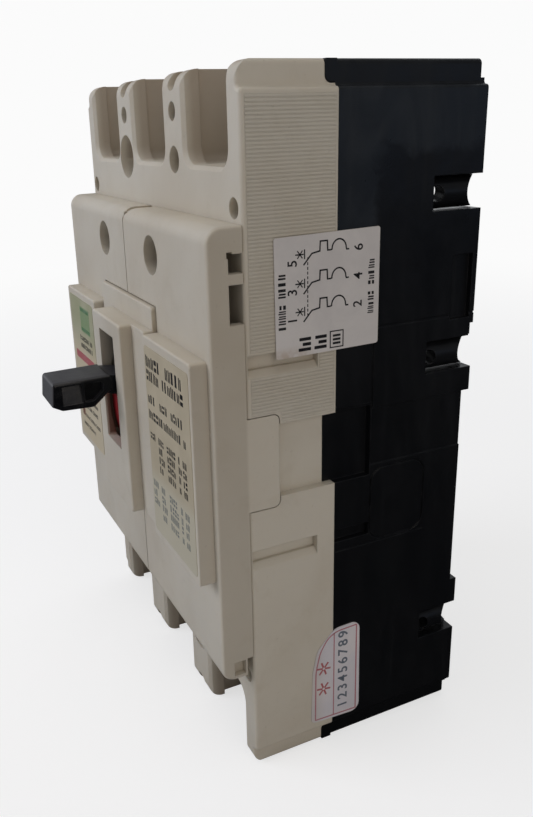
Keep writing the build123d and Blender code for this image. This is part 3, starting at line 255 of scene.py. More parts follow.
def black_moulding():
    """Black thermoset base: bluish haze, rub marks and a powdery film, with a painted sheen lightening its upper part;
    semi-gloss with a fine grain.
    """
    g = Graph("black_moulding")
    tone = g.noise(26.0, 4.0, 0.6, 0.7)
    x, y, z = g.xyz()
    haze = g.noise(60.0, 5.0, 0.62, 1.6, g.mapped((1.0, 1.4, 0.45)))
    streak = g.noise(170.0, 3.0, 0.55, 0.3, g.mapped((1.0, 1.6, 0.12)))
    col = g.mix(g.span(tone, 0.35, 0.7), (0.0042, 0.0047, 0.0060, 1), (0.0068, 0.0074, 0.0088, 1))
    wob = g.math("MULTIPLY", g.math("SUBTRACT", g.noise(140.0, 3.0, 0.6, 0.4), 0.5), 0.009)
    zw, yw = g.math("ADD", z, wob), g.math("ADD", y, wob)
    # the upper part of the base near the flange is lightened: partly a powdery film, partly a painted reflection
    sheen_zone = g.math("MAXIMUM", g.span(yw, -0.0265, -0.0295), g.span(zw, 0.0635, 0.0665))
    sheen_zone = g.math("MULTIPLY", sheen_zone, g.math("MULTIPLY", g.span(z, 0.030, 0.052), g.span(z, 0.0780, 0.0768, 0.25, 1.0)))
    dust_and_sheen = g.math("MULTIPLY", g.span(haze, 0.35, 0.72, 0.55, 1.0), g.math("ADD", g.math("MULTIPLY", sheen_zone, 0.82), 0.05))
    col = g.mix(g.math("MULTIPLY", dust_and_sheen, 0.72), col, (0.031, 0.039, 0.049, 1))
    col = g.mix(g.math("MULTIPLY", g.span(streak, 0.6, 0.75), 0.12), col, (0.03, 0.034, 0.04, 1))
    bev = g.bevel(0.00035, 4)
    edge = g.edge(bev)
    worn = g.math("MULTIPLY", edge, g.span(g.noise(210.0, 3.0), 0.42, 0.66))
    col = g.mix(g.math("MULTIPLY", worn, 0.5), col, (0.045, 0.048, 0.054, 1))
    crumbs = g.math("MULTIPLY", g.span(g.hollow(0.0035, 4), 0.45, 1.0), g.span(g.noise(90.0, 4.0), 0.4, 0.7))
    col = g.mix(g.math("MULTIPLY", crumbs, 0.25), col, (0.05, 0.047, 0.042, 1))
    rough = g.math("ADD", g.span(haze, 0.3, 0.75, 0.27, 0.44), g.math("MULTIPLY", g.span(streak, 0.45, 0.75), 0.07))
    grain = g.noise(2200.0, 3.0, 0.6)
    n = g.bump(grain, 0.09, 0.00025, bev)
    n = g.bump(g.noise(34.0, 3.0, 0.5, 0.3), 0.16, 0.004, n)
    return g.shade(col, rough, 0.0, 0.36, n)


def handle_black():
    """Phenolic grip, glossy flanks and a rubbed, duller top; top and front faces lighter, partly a rubbed film and
    partly painted light, with a painted highlight on the front of the tip.
    """
    g = Graph("handle_black")
    bev = g.bevel(0.0003, 5)
    edge = g.edge(bev)
    smear = g.noise(260.0, 4.0, 0.6, 0.8)
    geo = g.node("ShaderNodeNewGeometry")
    nx, ny, nz = g.xyz(geo.outputs["Normal"])
    front = g.span(ny, -0.4, -0.9)
    up = g.math("MAXIMUM", g.span(nz, 0.35, 0.9), g.math("MULTIPLY", front, 0.95))
    x, y, z = g.xyz()
    col = g.mix(g.span(smear, 0.35, 0.7), (0.0045, 0.0052, 0.0068, 1), (0.0085, 0.0095, 0.0115, 1))
    # top and front faces lighter: partly a rubbed film, partly painted light from the lamps above and in front
    col = g.mix(g.math("MULTIPLY", up, 0.75), col, (0.060, 0.060, 0.067, 1))
    # painted highlight on the front faces near the tip
    col = g.mix(g.math("MULTIPLY", g.math("MULTIPLY", front, 0.9), g.span(y, -0.0880, -0.0905)), col, (0.112, 0.112, 0.118, 1))
    worn = g.math("MULTIPLY", edge, g.span(g.noise(420.0, 3.0), 0.38, 0.6))
    col = g.mix(g.math("MULTIPLY", worn, 0.6), col, (0.085, 0.085, 0.09, 1))
    rough = g.math("ADD", g.span(smear, 0.3, 0.75, 0.14, 0.24), g.math("MULTIPLY", up, 0.30))
    n = g.bump(g.noise(2400.0, 3.0, 0.6), 0.07, 0.0002, bev)
    n = g.bump(g.noise(150.0, 2.0), 0.08, 0.001, n)
    flank = g.span(g.math("ABSOLUTE", nx), 0.80, 0.985)
    spec = g.math("SUBTRACT", 0.5, g.math("MULTIPLY", flank, g.span(y, -0.0842, -0.0836, 0.18, 0.40)))
    return g.shade(col, rough, 0.0, spec, n)


def coloured_plastic(name, a, b, rough, grain=0.06):
    g = Graph(name)
    bev = g.bevel(0.0002, 4)
    edge = g.edge(bev)
    tone = g.noise(240.0, 4.0, 0.6, 0.5)
    col = g.mix(g.span(tone, 0.3, 0.7), a, b)
    col = g.mix(g.math("MULTIPLY", edge, 0.25), col, tuple(min(1.0, c * 1.8 + 0.03) for c in a[:3]) + (1,))
    # painted shade: darker in the hollows
    col = g.mix(g.math("MULTIPLY", g.span(g.hollow(0.0015, 4), 0.4, 1.0), 0.4), col, (0.02, 0.015, 0.012, 1))
    r = g.math("ADD", rough, g.math("MULTIPLY", g.math("SUBTRACT", tone, 0.5), 0.25))
    n = g.bump(g.noise(2300.0, 3.0), grain, 0.0002, bev)
    return g.shade(col, r, 0.0, 0.45, n)


def metal(name, a, b, rough, brush=(1.0, 1.0, 14.0), scale=500.0, stain=(0.2, 0.17, 0.13, 1), stained=0.25, brushed=0.12):
    """Plated or bare metal: drawn lines along one axis, tone blotches, oxide in the corners, bright rubbed edges."""
    g = Graph(name)
    bev = g.bevel(0.00018, 4)
    edge = g.edge(bev)
    lines = g.noise(scale, 4.0, 0.65, 0.1, g.mapped(brush))
    blotch = g.noise(130.0, 4.0, 0.6, 0.8)
    col = g.mix(g.span(blotch, 0.32, 0.7), a, b)
    col = g.mix(g.math("MULTIPLY", g.span(lines, 0.45, 0.75), 0.25), col, tuple(c * 0.72 for c in a[:3]) + (1,))
    col = g.mix(g.math("MULTIPLY", edge, 0.4), col, tuple(min(1.0, c * 1.2 + 0.05) for c in a[:3]) + (1,))
    oxide = g.math("MULTIPLY", g.span(g.hollow(0.0016, 4), 0.35, 1.0), stained)
    col = g.mix(oxide, col, stain)
    r = g.math("ADD", g.span(blotch, 0.3, 0.75, rough - 0.06, rough + 0.1), g.math("MULTIPLY", lines, 0.1))
    n = g.bump(lines, brushed, 0.0003, bev)
    n = g.bump(g.noise(1400.0, 2.0), 0.05, 0.0002, n)
    return g.shade(col, r, 1.0, 0.5, n)


def fibre():
    g = Graph("red_fibre")
    bev = g.bevel(0.00015, 4)
    weave = g.noise(600.0, 4.0, 0.7, 0.2, g.mapped((1.0, 6.0, 1.0)))
    col = g.mix(g.span(weave, 0.3, 0.7), (0.20, 0.055, 0.032, 1), (0.30, 0.10, 0.055, 1))
    col = g.mix(g.math("MULTIPLY", g.span(g.noise(90.0, 4.0), 0.5, 0.75), 0.4), col, (0.10, 0.045, 0.03, 1))
    n = g.bump(weave, 0.25, 0.0003, bev)
    return g.shade(col, g.span(weave, 0.3, 0.7, 0.6, 0.78), 0.0, 0.35, n)


def paper(name, a, b, rough, stain_box=None, gloss=0.0, clear=False):
    """Printed label stock: faint fibres, slight cockle, yellowed towards one corner where the glue lifted."""
    g = Graph(name)
    fibres = g.noise(1300.0, 4.0, 0.7, 0.6)
    cloud = g.noise(70.0, 4.0, 0.6, 0.5)
    col = g.mix(g.span(cloud, 0.35, 0.7), a, b)
    col = g.mix(g.math("MULTIPLY", g.span(fibres, 0.55, 0.8), 0.10), col, srgb(150, 140, 125))
    x, y, z = g.xyz()
    if stain_box == "wiring":
        low = g.span(z, 0.0262, 0.0236)
        front = g.span(y, -0.0430, -0.0475)
        s = g.math("MULTIPLY", g.math("MULTIPLY", low, front), g.span(g.noise(380.0, 3.0), 0.3, 0.6))
        col = g.mix(g.math("MULTIPLY", s, 0.45), col, srgb(170, 138, 96))
    if stain_box == "faded":
        low = g.span(z, -0.0075, -0.0125)
        col = g.mix(low, col, srgb(210, 203, 181))
    if stain_box == "info":
        col = g.mix(g.span(z, 0.0040, 0.0150), srgb(219, 205, 176), srgb(181, 182, 148))
        col = g.mix(g.math("MULTIPLY", g.span(cloud, 0.35, 0.7), 0.35), col, b)
    if stain_box == "inspection":
        side = g.span(y, -0.0395, -0.0435)
        col = g.mix(g.math("MULTIPLY", side, 0.35), col, srgb(196, 188, 172))
    edge = g.edge(g.bevel(0.00025, 4), 0.02, 0.3)
    col = g.mix(g.math("MULTIPLY", edge, 0.3), col, srgb(168, 156, 136))
    n = g.bump(g.noise(38.0, 3.0, 0.5), 0.12, 0.002)
    n = g.bump(fibres, 0.05, 0.0001, n)
    return g.shade(col, g.span(cloud, 0.3, 0.7, rough, rough + 0.12), 0.0, 0.4, n, coat=gloss, coat_rough=0.18)


def ink(name, colour, fade=0.06, rough=0.5):
    """Printing ink, slightly uneven where it took badly."""
    g = Graph(name)
    spot = g.noise(1500.0, 4.0, 0.65, 0.3)
    wide = g.noise(120.0, 3.0)
    pale = tuple(c * (1 - fade) + fade * 0.55 for c in colour[:3]) + (1,)
    col = g.mix(g.math("MULTIPLY", g.span(spot, 0.42, 0.7), g.span(wide, 0.3, 0.7, 0.5, 1.0)), colour, pale)
    return g.shade(col, g.span(spot, 0.3, 0.7, rough - 0.08, rough + 0.1), 0.0, 0.4, g.bump(spot, 0.06, 0.0001))


MATS = {
    "ivory_moulding": ivory_moulding(),
    "black_moulding": black_moulding(),
    "handle_black": handle_black(),
    "flag_red": coloured_plastic("flag_red", (0.42, 0.028, 0.034, 1), (0.34, 0.02, 0.026, 1), 0.42),
    "button_red": coloured_plastic("button_red", (0.48, 0.035, 0.025, 1), (0.40, 0.026, 0.02, 1), 0.32),
    "crossbar_moulding": coloured_plastic("crossbar_moulding", (0.055, 0.028, 0.016, 1), (0.035, 0.018, 0.011, 1), 0.5, 0.12),
    "red_fibre": fibre(),
    "zinc_steel": metal("zinc_steel", (0.60, 0.60, 0.585, 1), (0.52, 0.50, 0.45, 1), 0.34),
    "mechanism_steel": metal("mechanism_steel", (0.46, 0.455, 0.445, 1), (0.36, 0.35, 0.335, 1), 0.36, stained=0.4),
    "spring_steel": metal("spring_steel", (0.36, 0.355, 0.36, 1), (0.25, 0.245, 0.25, 1), 0.3, (1.0, 1.0, 5.0), stained=0.3),
    "plated_copper": metal("plated_copper", (0.66, 0.64, 0.585, 1), (0.58, 0.53, 0.46, 1), 0.32, (12.0, 1.0, 1.0), stained=0.3, stain=(0.25, 0.15, 0.08, 1)),
    "bare_copper": metal("bare_copper", (0.70, 0.32, 0.18, 1), (0.50, 0.21, 0.12, 1), 0.3, (1.0, 1.0, 12.0), stained=0.5, stain=(0.12, 0.05, 0.03, 1)),
    "contact_silver": metal("contact_silver", (0.78, 0.765, 0.74, 1), (0.66, 0.64, 0.6, 1), 0.3, stained=0.3),
    "bimetal_strip": metal("bimetal_strip", (0.56, 0.53, 0.47, 1), (0.48, 0.42, 0.34, 1), 0.28, (10.0, 1.0, 1.0), stained=0.3),
}
WIRING_PAPER = paper("wiring_paper", srgb(226, 222, 219), srgb(216, 212, 210), 0.5, "wiring")
INSPECTION_PAPER = paper("inspection_paper", srgb(226, 223, 229), srgb(236, 230, 232), 0.34, "inspection", 0.3)
RATING_FILM = paper("rating_film", srgb(200, 188, 162), srgb(209, 197, 171), 0.42, "faded", 0.15)
INFO_FILM = paper("info_film", srgb(206, 200, 178), srgb(213, 206, 187), 0.42, "info", 0.15)
INK_DARK = ink("ink_dark", (0.008, 0.008, 0.010, 1))
INK_SOFT = ink("ink_soft", (0.022, 0.021, 0.021, 1), 0.1)
INK_FADED = ink("ink_faded", (0.20, 0.215, 0.205, 1), 0.2)
INK_PINK = ink("ink_pink", (0.52, 0.20, 0.235, 1), 0.3)
INK_RED = ink("ink_red", (0.50, 0.12, 0.13, 1), 0.35)
INK_SLATE = ink("ink_slate", (0.13, 0.16, 0.205, 1), 0.3)
INK_GREEN = ink("ink_green", (0.10, 0.24, 0.10, 1), 0.35)
INK_GREEN_PALE = ink("ink_green_pale", (0.27, 0.38, 0.19, 1), 0.3)
INK_BROWN = ink("ink_brown", (0.22, 0.11, 0.07, 1), 0.3)

LABELS = {"wiring_label": WIRING_PAPER, "inspection_label": INSPECTION_PAPER, "rating_label": RATING_FILM, "info_label": INFO_FILM}
SLOT_OF = {s["node"]: s["material_slot"] for s in frame["record"]["subparts"]}


def paint(obj, mat):
    if not obj.data.materials:
        obj.data.materials.append(mat)
    for i in range(len(obj.data.materials)):
        obj.data.materials[i] = mat
    for s in obj.material_slots:
        s.material = mat


for name, obj in NODES.items():
    paint(obj, LABELS.get(name) or MATS[SLOT_OF[name]])


# ----------------------------------------------------------------------------
# Flat artwork made of thin closed prisms
# ----------------------------------------------------------------------------
class Art:
    """Polygons in a label's own plane, in millimetres, raised a few hundredths off it."""

    def __init__(self, name, mat, place, slot, low=-0.004, high=0.018, body=HOUSING):
        self.name, self.mat, self.place, self.slot, self.body = name, mat, place, slot, body
        self.low, self.high = low, high
        self.bm = bmesh.new()

    def poly(self, pts):
        area = sum(a[0] * b[1] - b[0] * a[1] for a, b in zip(pts, pts[1:] + pts[:1]))
        if area < 0:
            pts = pts[::-1]
        bottom = [self.bm.verts.new(self.place(u, v, self.low)) for u, v in pts]
        top = [self.bm.verts.new(self.place(u, v, self.high)) for u, v in pts]
        self.bm.faces.new(bottom[::-1])
        self.bm.faces.new(top)
        n = len(pts)
        for i in range(n):
            j = (i + 1) % n
            self.bm.faces.new((bottom[i], bottom[j], top[j], top[i]))

    def rect(self, u0, v0, u1, v1, r=0.0):
        if r <= 0:
            self.poly([(u0, v0), (u1, v0), (u1, v1), (u0, v1)])
            return
        r = min(r, abs(u1 - u0) / 2 - 1e-4, abs(v1 - v0) / 2 - 1e-4)
        pts = []
        for cu, cv, a0 in ((u1 - r, v0 + r, -90), (u1 - r, v1 - r, 0), (u0 + r, v1 - r, 90), (u0 + r, v0 + r, 180)):
            for k in range(4):
                a = math.radians(a0 + 30 * k)
                pts.append((cu + r * math.cos(a), cv + r * math.sin(a)))
        self.poly(pts)

    def stroke(self, path, width, closed=False):
        """A mitred ribbon along a path."""
        p = [Vector(q) for q in path]
        n = len(p)
        left, right = [], []
        for i in range(n):
            a = p[i - 1] if (i > 0 or closed) else None
            b = p[(i + 1) % n] if (i < n - 1 or closed) else None
            d0 = (p[i] - a).normalized() if a is not None else None
            d1 = (b - p[i]).normalized() if b is not None else None
            d0 = d0 or d1
            d1 = d1 or d0
            m = Vector((-(d0.y + d1.y), d0.x + d1.x))
            m = m.normalized() if m.length > 1e-6 else Vector((-d0.y, d0.x))
            k = m.dot(Vector((-d0.y, d0.x)))
            s = min(width / 2 / max(k, 0.35), width)
            left.append((p[i].x + m.x * s, p[i].y + m.y * s))
            right.append((p[i].x - m.x * s, p[i].y - m.y * s))
        if not closed:
            self.poly(left + right[::-1])
            return
        for i in range(n):
            j = (i + 1) % n
            self.poly([left[i], left[j], right[j], right[i]])

    def blocks(self, u0, u1, v0, h, rng, fill=0.62, groups=(3, 7), gap=0.17):
        """A line of plain blocks where a line of print stands: word lengths and spacing, and no letters."""
        u = u0
        while u < u1 - 0.5 * h:
            for _ in range(rng.randint(*groups)):
                w = h * rng.uniform(0.42, 0.66)
                if u + w > u1:
                    break
                top = rng.choice((1.0, 1.0, 0.86))
                cut = rng.choice((0, 0, 1, 2))
                if cut == 0:
                    self.rect(u, v0, u + w * 0.36, v0 + h * top, 0.05)
                    self.rect(u + w * 0.58, v0, u + w * 0.94, v0 + h * top * 0.92, 0.05)
                elif cut == 1:
                    self.rect(u, v0 + h * 0.58, u + w * 0.92, v0 + h * top, 0.05)
                    self.rect(u, v0, u + w * 0.92, v0 + h * 0.36, 0.05)
                else:
                    self.rect(u, v0, u + w * fill, v0 + h * top, 0.05)
                u += w + gap * h
            u += h * rng.uniform(0.32, 0.55)

    def number(self, text, u, v, size, bold=0.012):
        """A numeral centred at u, v."""
        c = bpy.data.curves.new("numeral", "FONT")
        c.body = text
        c.size = size
        c.align_x, c.align_y = "CENTER", "CENTER"
        c.extrude = 0.0
        c.resolution_u = 4
        c.offset = bold * size
        o = bpy.data.objects.new("numeral", c)
        bpy.context.scene.collection.objects.link(o)
        bpy.context.view_layer.update()
        me = bpy.data.meshes.new_from_object(o)
        t = bmesh.new()
        t.from_mesh(me)
        bmesh.ops.remove_doubles(t, verts=t.verts, dist=1e-5)
        bmesh.ops.dissolve_limit(t, angle_limit=0.02, verts=t.verts, edges=t.edges)
        bmesh.ops.triangulate(t, faces=t.faces)
        vm = {}
        for f in t.faces:
            flip = f.normal.z < 0
            for kind in (0, 1):
                for q in f.verts:
                    if (q.index, kind) not in vm:
                        vm[(q.index, kind)] = self.bm.verts.new(self.place(u + q.co.x, v + q.co.y, self.high if kind else self.low))
            seq = list(f.verts)[::-1] if flip else list(f.verts)
            self.bm.faces.new([vm[(q.index, 1)] for q in seq])
            self.bm.faces.new([vm[(q.index, 0)] for q in seq[::-1]])
        for e in t.edges:
            if len(e.link_faces) == 1:
                f = e.link_faces[0]
                seq = list(f.verts)[::-1] if f.normal.z < 0 else list(f.verts)
                i = seq.index(e.verts[0])
                a, b = (e.verts[0], e.verts[1]) if seq[(i + 1) % len(seq)] == e.verts[1] else (e.verts[1], e.verts[0])
                self.bm.faces.new((vm[(a.index, 0)], vm[(b.index, 0)], vm[(b.index, 1)], vm[(a.index, 1)]))
        t.free()
        bpy.data.objects.remove(o)
        bpy.data.curves.remove(c)
        bpy.data.meshes.remove(me)

    def done(self):
        me = bpy.data.meshes.new(self.name)
        bmesh.ops.recalc_face_normals(self.bm, faces=self.bm.faces)
        self.bm.to_mesh(me)
        self.bm.free()
        o = bpy.data.objects.new(self.name, me)
        bpy.context.scene.collection.objects.link(o)
        me.materials.append(self.mat)
        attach(o, self.body)
        return o


def face_x(x):
    """Right flank: u runs up the object, v towards the front, raised outwards."""
    return lambda u, v, h: Vector((x + h, -v, u)) * MM


def face_y(y):
    """Front: u to the right, v up, raised towards the viewer."""
    return lambda u, v, h: Vector((u, y - h, v)) * MM


rng = random.Random(40721)

# right label panel ----------------------------------------------------------
y_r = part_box("rating_label")[0].y / MM
a = Art("rating_label_print", INK_DARK, face_y(y_r), "label_cream")
b = Art("rating_label_small_print", INK_SOFT, face_y(y_r), "label_cream")
c = Art("rating_label_faded_print", INK_FADED, face_y(y_r), "label_cream")
for v0, h, spans in ((17.5, 2.8, ((23.3, 33.6), (36.2, 47.3))), (14.2, 2.6, ((23.3, 32.6), (33.8, 47.4)))):
    for u0, u1 in spans:
        a.blocks(u0, u1, v0, h, rng, groups=(7, 9), gap=0.15)
for v0, h, spans in (
    (8.5, 2.2, ((23.4, 29.2), (31.2, 36.6), (38.4, 47.2))),
    (4.5, 2.2, ((23.3, 47.4),)),
    (-0.7, 1.8, ((23.4, 27.6), (28.8, 32.4), (34.4, 40.0), (41.6, 43.8), (44.3, 47.3))),
    (-3.1, 1.8, ((28.8, 32.4), (34.4, 40.0), (41.6, 43.8), (44.3, 47.3))),
    (-5.5, 1.8, ((28.8, 32.4), (34.4, 40.0), (41.6, 43.8), (44.3, 47.3))),
    (-8.0, 1.8, ((28.8, 32.4), (34.4, 40.0), (41.6, 43.8), (44.3, 47.3))),
):
    for u0, u1 in spans:
        (a if v0 < 0 and u0 > 44 else b).blocks(u0, u1, v0, h, rng, groups=(12, 14), gap=0.16)
for k, v0 in enumerate((-13.3, -15.8, -18.1, -20.7)):
    for u0, u1 in ([(23.4, 26.8)] if k < 3 else []) + [(28.9, 32.4), (34.4, 40.0), (41.6, 43.8), (44.3, 47.3)]:
        c.blocks(u0, u1, v0, 1.8, rng, groups=(12, 14), gap=0.18)
for q in (a, b, c):
    q.done()

# left label panel -----------------------------------------------------------
y_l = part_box("info_label")[0].y / MM
a = Art("info_label_badge", INK_GREEN_PALE, face_y(y_l), "label_cream")
a.rect(-36.6, 13.0, -26.6, 20.8, 0.5)
a.done()
a = Art("info_label_badge_bars", INK_GREEN, face_y(y_l), "label_cream", 0.012, 0.034)
a.rect(-36.2, 19.4, -27.0, 20.4, 0.2)
a.rect(-36.2, 13.4, -27.0, 14.4, 0.2)
a.done()
a = Art("info_label_print", INK_SOFT, face_y(y_l), "label_cream")
a.blocks(-38.6, -25.0, 10.0, 1.5, rng, groups=(8, 11))
a.blocks(-38.6, -25.0, 7.6, 1.5, rng, groups=(8, 11))
for v0, u0, u1 in ((-9.6, -43.0, -25.0), (-12.6, -38.5, -25.5), (-16.2, -41.0, -24.4), (-19.4, -44.0, -30.0)):
    a.blocks(u0, u1, v0, 1.2, rng, groups=(5, 9), gap=0.2)
a.done()
a = Art("info_label_band", INK_RED, face_y(y_l), "label_cream")
a.rect(-45.2, 3.2, -25.0, 5.6, 0.3)
a.done()
a = Art("info_label_seal", INK_BROWN, face_y(y_l), "label_cream")
a.rect(-44.6, -16.2, -41.6, -13.4, 0.6)
a.done()

# wiring label on the right flank ---------------------------------------------
# u = height, v = distance from the mounting plane
x_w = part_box("wiring_label")[1].x / MM
a = Art("wiring_label_print", INK_DARK, face_x(x_w), "label_white")
for text, u, v in (("1", 31.3, 48.9), ("3", 37.3, 48.9), ("5", 43.3, 48.9), ("2", 33.1, 32.8), ("4", 39.2, 32.8), ("6", 45.3, 32.8)):
    a.number(text, u, v, 3.1)
for top in (47.4, 41.35, 35.4):
    s = top - 47.4
    # terminal mark: a cross between a long and a short stroke
    a.stroke([(45.0 + s, 48.3), (45.0 + s, 46.3)], 0.27)
    a.stroke([(44.2 + s, 47.8), (45.8 + s, 46.6)], 0.24)
    a.stroke([(45.8 + s, 47.8), (44.2 + s, 46.6)], 0.24)
    a.stroke([(44.0 + s, 46.1), (46.0 + s, 46.1)], 0.27)
    # contact blade, trip box and coil bow
    a.stroke([(42.75 + s, 46.35), (45.0 + s, 44.35), (45.35 + s, 42.45), (47.35 + s, 42.35), (47.35 + s, 40.65),
              (45.35 + s, 40.55), (45.35 + s, 39.75)], 0.33)
    bow = [(45.35 + s, 39.75)]
    for k in range(13):
        t = math.radians(180 * k / 12)
        bow.append((45.45 + s + 2.0 * math.sin(t), 37.75 + 1.75 * math.cos(t)))
    bow += [(45.15 + s, 35.9), (45.15 + s, 35.25)]
    a.stroke(bow, 0.33)
for k in range(13):
    u = 31.9 + k * 0.98
    a.stroke([(u, 45.35), (u + 0.62, 45.35)], 0.24)
for u0, u1 in ((29.6, 35.6), (36.4, 41.8)):
    a.blocks(u0, u1, 50.6, 1.75, rng, groups=(9, 11), gap=0.14)
for u0, u1 in ((30.6, 36.3), (37.0, 43.0)):
    a.blocks(u0, u1, 28.75, 1.55, rng, groups=(9, 11), gap=0.16)
# three plain panels where the heading stands
for v in (46.1, 42.2):
    for k in range(3):
        a.rect(24.35 + k * 1.14, v - 1.55, 25.05 + k * 1.14, v + (1.5, 0.5, 1.3)[k], 0.1)
a.stroke([(24.15, 36.5), (27.75, 36.5), (27.75, 39.75), (24.15, 39.75)], 0.26, closed=True)
for k in range(3):
    a.rect(24.8 + k * 0.85, 37.15, 25.3 + k * 0.85, 39.1, 0.08)
a.done()

# inspection label low on the right flank ---------------------------------------
x_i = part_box("inspection_label")[1].x / MM


def inset_ring(pts, r):
    """The label's outline drawn in by r."""
    n = len(pts)
    out = []
    for i in range(n):
        p0, p1, p2 = Vector(pts[i - 1]), Vector(pts[i]), Vector(pts[(i + 1) % n])
        d0, d1 = (p1 - p0).normalized(), (p2 - p1).normalized()
        n0, n1 = Vector((-d0.y, d0.x)), Vector((-d1.y, d1.x))
        m = (n0 + n1).normalized()
        out.append(tuple(p1 + m * r / max(m.dot(n0), 0.4)))
    return out


ring = [(-74.6, 43.9), (-75.0, 43.2), (-75.5, 31.0), (-75.1, 30.3), (-48.9, 30.4), (-48.4, 31.1), (-48.6, 37.4), (-50.2, 40.2), (-53.8, 42.5), (-59.5, 43.8)]
area = sum(p[0] * q[1] - q[0] * p[1] for p, q in zip(ring, ring[1:] + ring[:1]))
if area < 0:
    ring = ring[::-1]


def rounded(pts, r, steps=5):
    """Cut each corner of a closed outline with a short curve."""
    n, out = len(pts), []
    for i in range(n):
        p0, p1, p2 = Vector(pts[i - 1]), Vector(pts[i]), Vector(pts[(i + 1) % n])
        q = min(r, (p1 - p0).length * 0.45, (p2 - p1).length * 0.45)
        a0, a1 = p1 + (p0 - p1).normalized() * q, p1 + (p2 - p1).normalized() * q
        for k in range(steps + 1):
            t = k / steps
            out.append(tuple(a0 * (1 - t) ** 2 + p1 * 2 * t * (1 - t) + a1 * t ** 2))
    return out


a = Art("inspection_label_border", INK_PINK, face_x(x_i), "label_white")
a.stroke(rounded(inset_ring(ring, 0.8), 1.6), 0.36, closed=True)
a.stroke([(-74.3, 37.75), (-49.6, 37.75)], 0.30)
a.done()
a = Art("inspection_label_digits", INK_SLATE, face_x(x_i), "label_white")
for k in range(9):
    a.number("123456789"[k], -72.1 + k * 2.67, 35.0, 3.9, 0.016)
a.done()
a = Art("inspection_label_marks", INK_RED, face_x(x_i), "label_white")
for u in (-65.3, -59.2):
    for k in range(6):
        t = math.radians(60 * k + 20)
        a.stroke([(u + 0.35 * math.cos(t), 40.7 + 0.35 * math.sin(t)), (u + 2.0 * math.cos(t), 40.7 + 2.0 * math.sin(t))], 0.5)
a.done()


# ----------------------------------------------------------------------------
# Fine horizontal ribs moulded on both flanks of the cover
# ----------------------------------------------------------------------------
def tree_of(*names):
    bm = bmesh.new()
    for nm in names:
        bm.from_mesh(NODES[nm].data)
    t = BVHTree.FromBMesh(bm)
    bm.free()
    return t


def flank_ribs():
    tree = tree_of("cover", "base", "aux_cover_right", "aux_cover_left")
    pitch, rise = 0.78, 0.075
    for side, name in ((1, "flank_ribs_right"), (-1, "flank_ribs_left")):
        bm = bmesh.new()
        z = 9.5
        rows = []
        while z < 76.95:
            rows.append(z)
            z += pitch
        for z in rows:
            ys = [-59.0 + 0.2 * k for k in range(int((59.0 - 38.3) / 0.2) + 1)]
            ok = []
            for y in ys:
                good = not (abs(z) < 11.8 and y < -51.8)
                for dz in (-0.34, 0.0, 0.34):
                    hit = tree.ray_cast(Vector((side * 60, y, z + dz)) * MM, Vector((-side, 0, 0)), 0.02)
                    if hit[0] is None or abs(hit[0].x / MM - side * 52.5) > 0.03:
                        good = False
                        break
                ok.append(good)
            start = None
            for i, g in enumerate(ok + [False]):
                if g and start is None:
                    start = i
                if not g and start is not None:
                    if i - 1 - start >= 6:
                        y0, y1 = ys[start] + 0.12, ys[i - 1] - 0.12
                        fade = min(1.0, max(0.0, (z - 8.5) / 9.0))
                        h = rise * (0.45 + 0.55 * fade)
                        prof = [(-0.36, -0.04), (-0.30, h * 0.7), (-0.22, h), (0.22, h), (0.30, h * 0.7), (0.36, -0.04)]
                        ends = []
                        for y, inset in ((y0, 0.0), (y1, 0.0)):
                            ends.append([bm.verts.new(Vector((side * (52.5 + q), y, z + p)) * MM) for p, q in prof])
                        m = len(prof)
                        bm.faces.new(ends[0])
                        bm.faces.new(ends[1][::-1])
                        for k in range(m):
                            j = (k + 1) % m
                            bm.faces.new((ends[0][k], ends[1][k], ends[1][j], ends[0][j]))
                    start = None
        bmesh.ops.recalc_face_normals(bm, faces=bm.faces)
        me = bpy.data.meshes.new(name)
        bm.to_mesh(me)
        bm.free()
        o = bpy.data.objects.new(name, me)
        bpy.context.scene.collection.objects.link(o)
        me.materials.append(MATS["ivory_moulding"])
        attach(o, HOUSING)


flank_ribs()


# ----------------------------------------------------------------------------
# Stage: pale floor, soft lights, camera
# ----------------------------------------------------------------------------
FLOOR_Z = LOW0.z - 0.0001


def button_spring():
    """The trip button's coil, built again here as its own mesh in place of the CAD spring, which is hidden."""
    lo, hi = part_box("trip_button_spring")
    cx, cz = (lo[0] + hi[0]) / 2, (lo[2] + hi[2]) / 2
    wire, turns, per, ring = 0.0002, 3.0, 40, 10
    coil_r = (hi[0] - lo[0]) / 2 - wire
    y0, y1 = hi[1] - wire, lo[1] + wire
    bm = bmesh.new()
    loops = []
    n = int(turns * per)
    for i in range(n + 1):
        a = 2 * math.pi * turns * i / n
        c = Vector((cx + coil_r * math.cos(a), y0 + (y1 - y0) * i / n, cz + coil_r * math.sin(a)))
        out = Vector((math.cos(a), 0.0, math.sin(a)))
        loops.append([bm.verts.new(c + out * (wire * math.cos(b)) + Vector((0, 1, 0)) * (wire * math.sin(b)))
                      for b in (2 * math.pi * k / ring for k in range(ring))])
    for p, q in zip(loops, loops[1:]):
        for k in range(ring):
            m = (k + 1) % ring
            bm.faces.new((p[k], p[m], q[m], q[k]))
    bm.faces.new(loops[0])
    bm.faces.new(loops[-1])
    bmesh.ops.recalc_face_normals(bm, faces=bm.faces)
    me = bpy.data.meshes.new("trip_button_coil")
    bm.to_mesh(me)
    bm.free()
    for f in me.polygons:
        f.use_smooth = True
    o = bpy.data.objects.new("trip_button_coil", me)
    bpy.context.scene.collection.objects.link(o)
    me.materials.append(MATS["spring_steel"])
    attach(o, HOUSING)
    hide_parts("trip_button_spring")
    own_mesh(o)


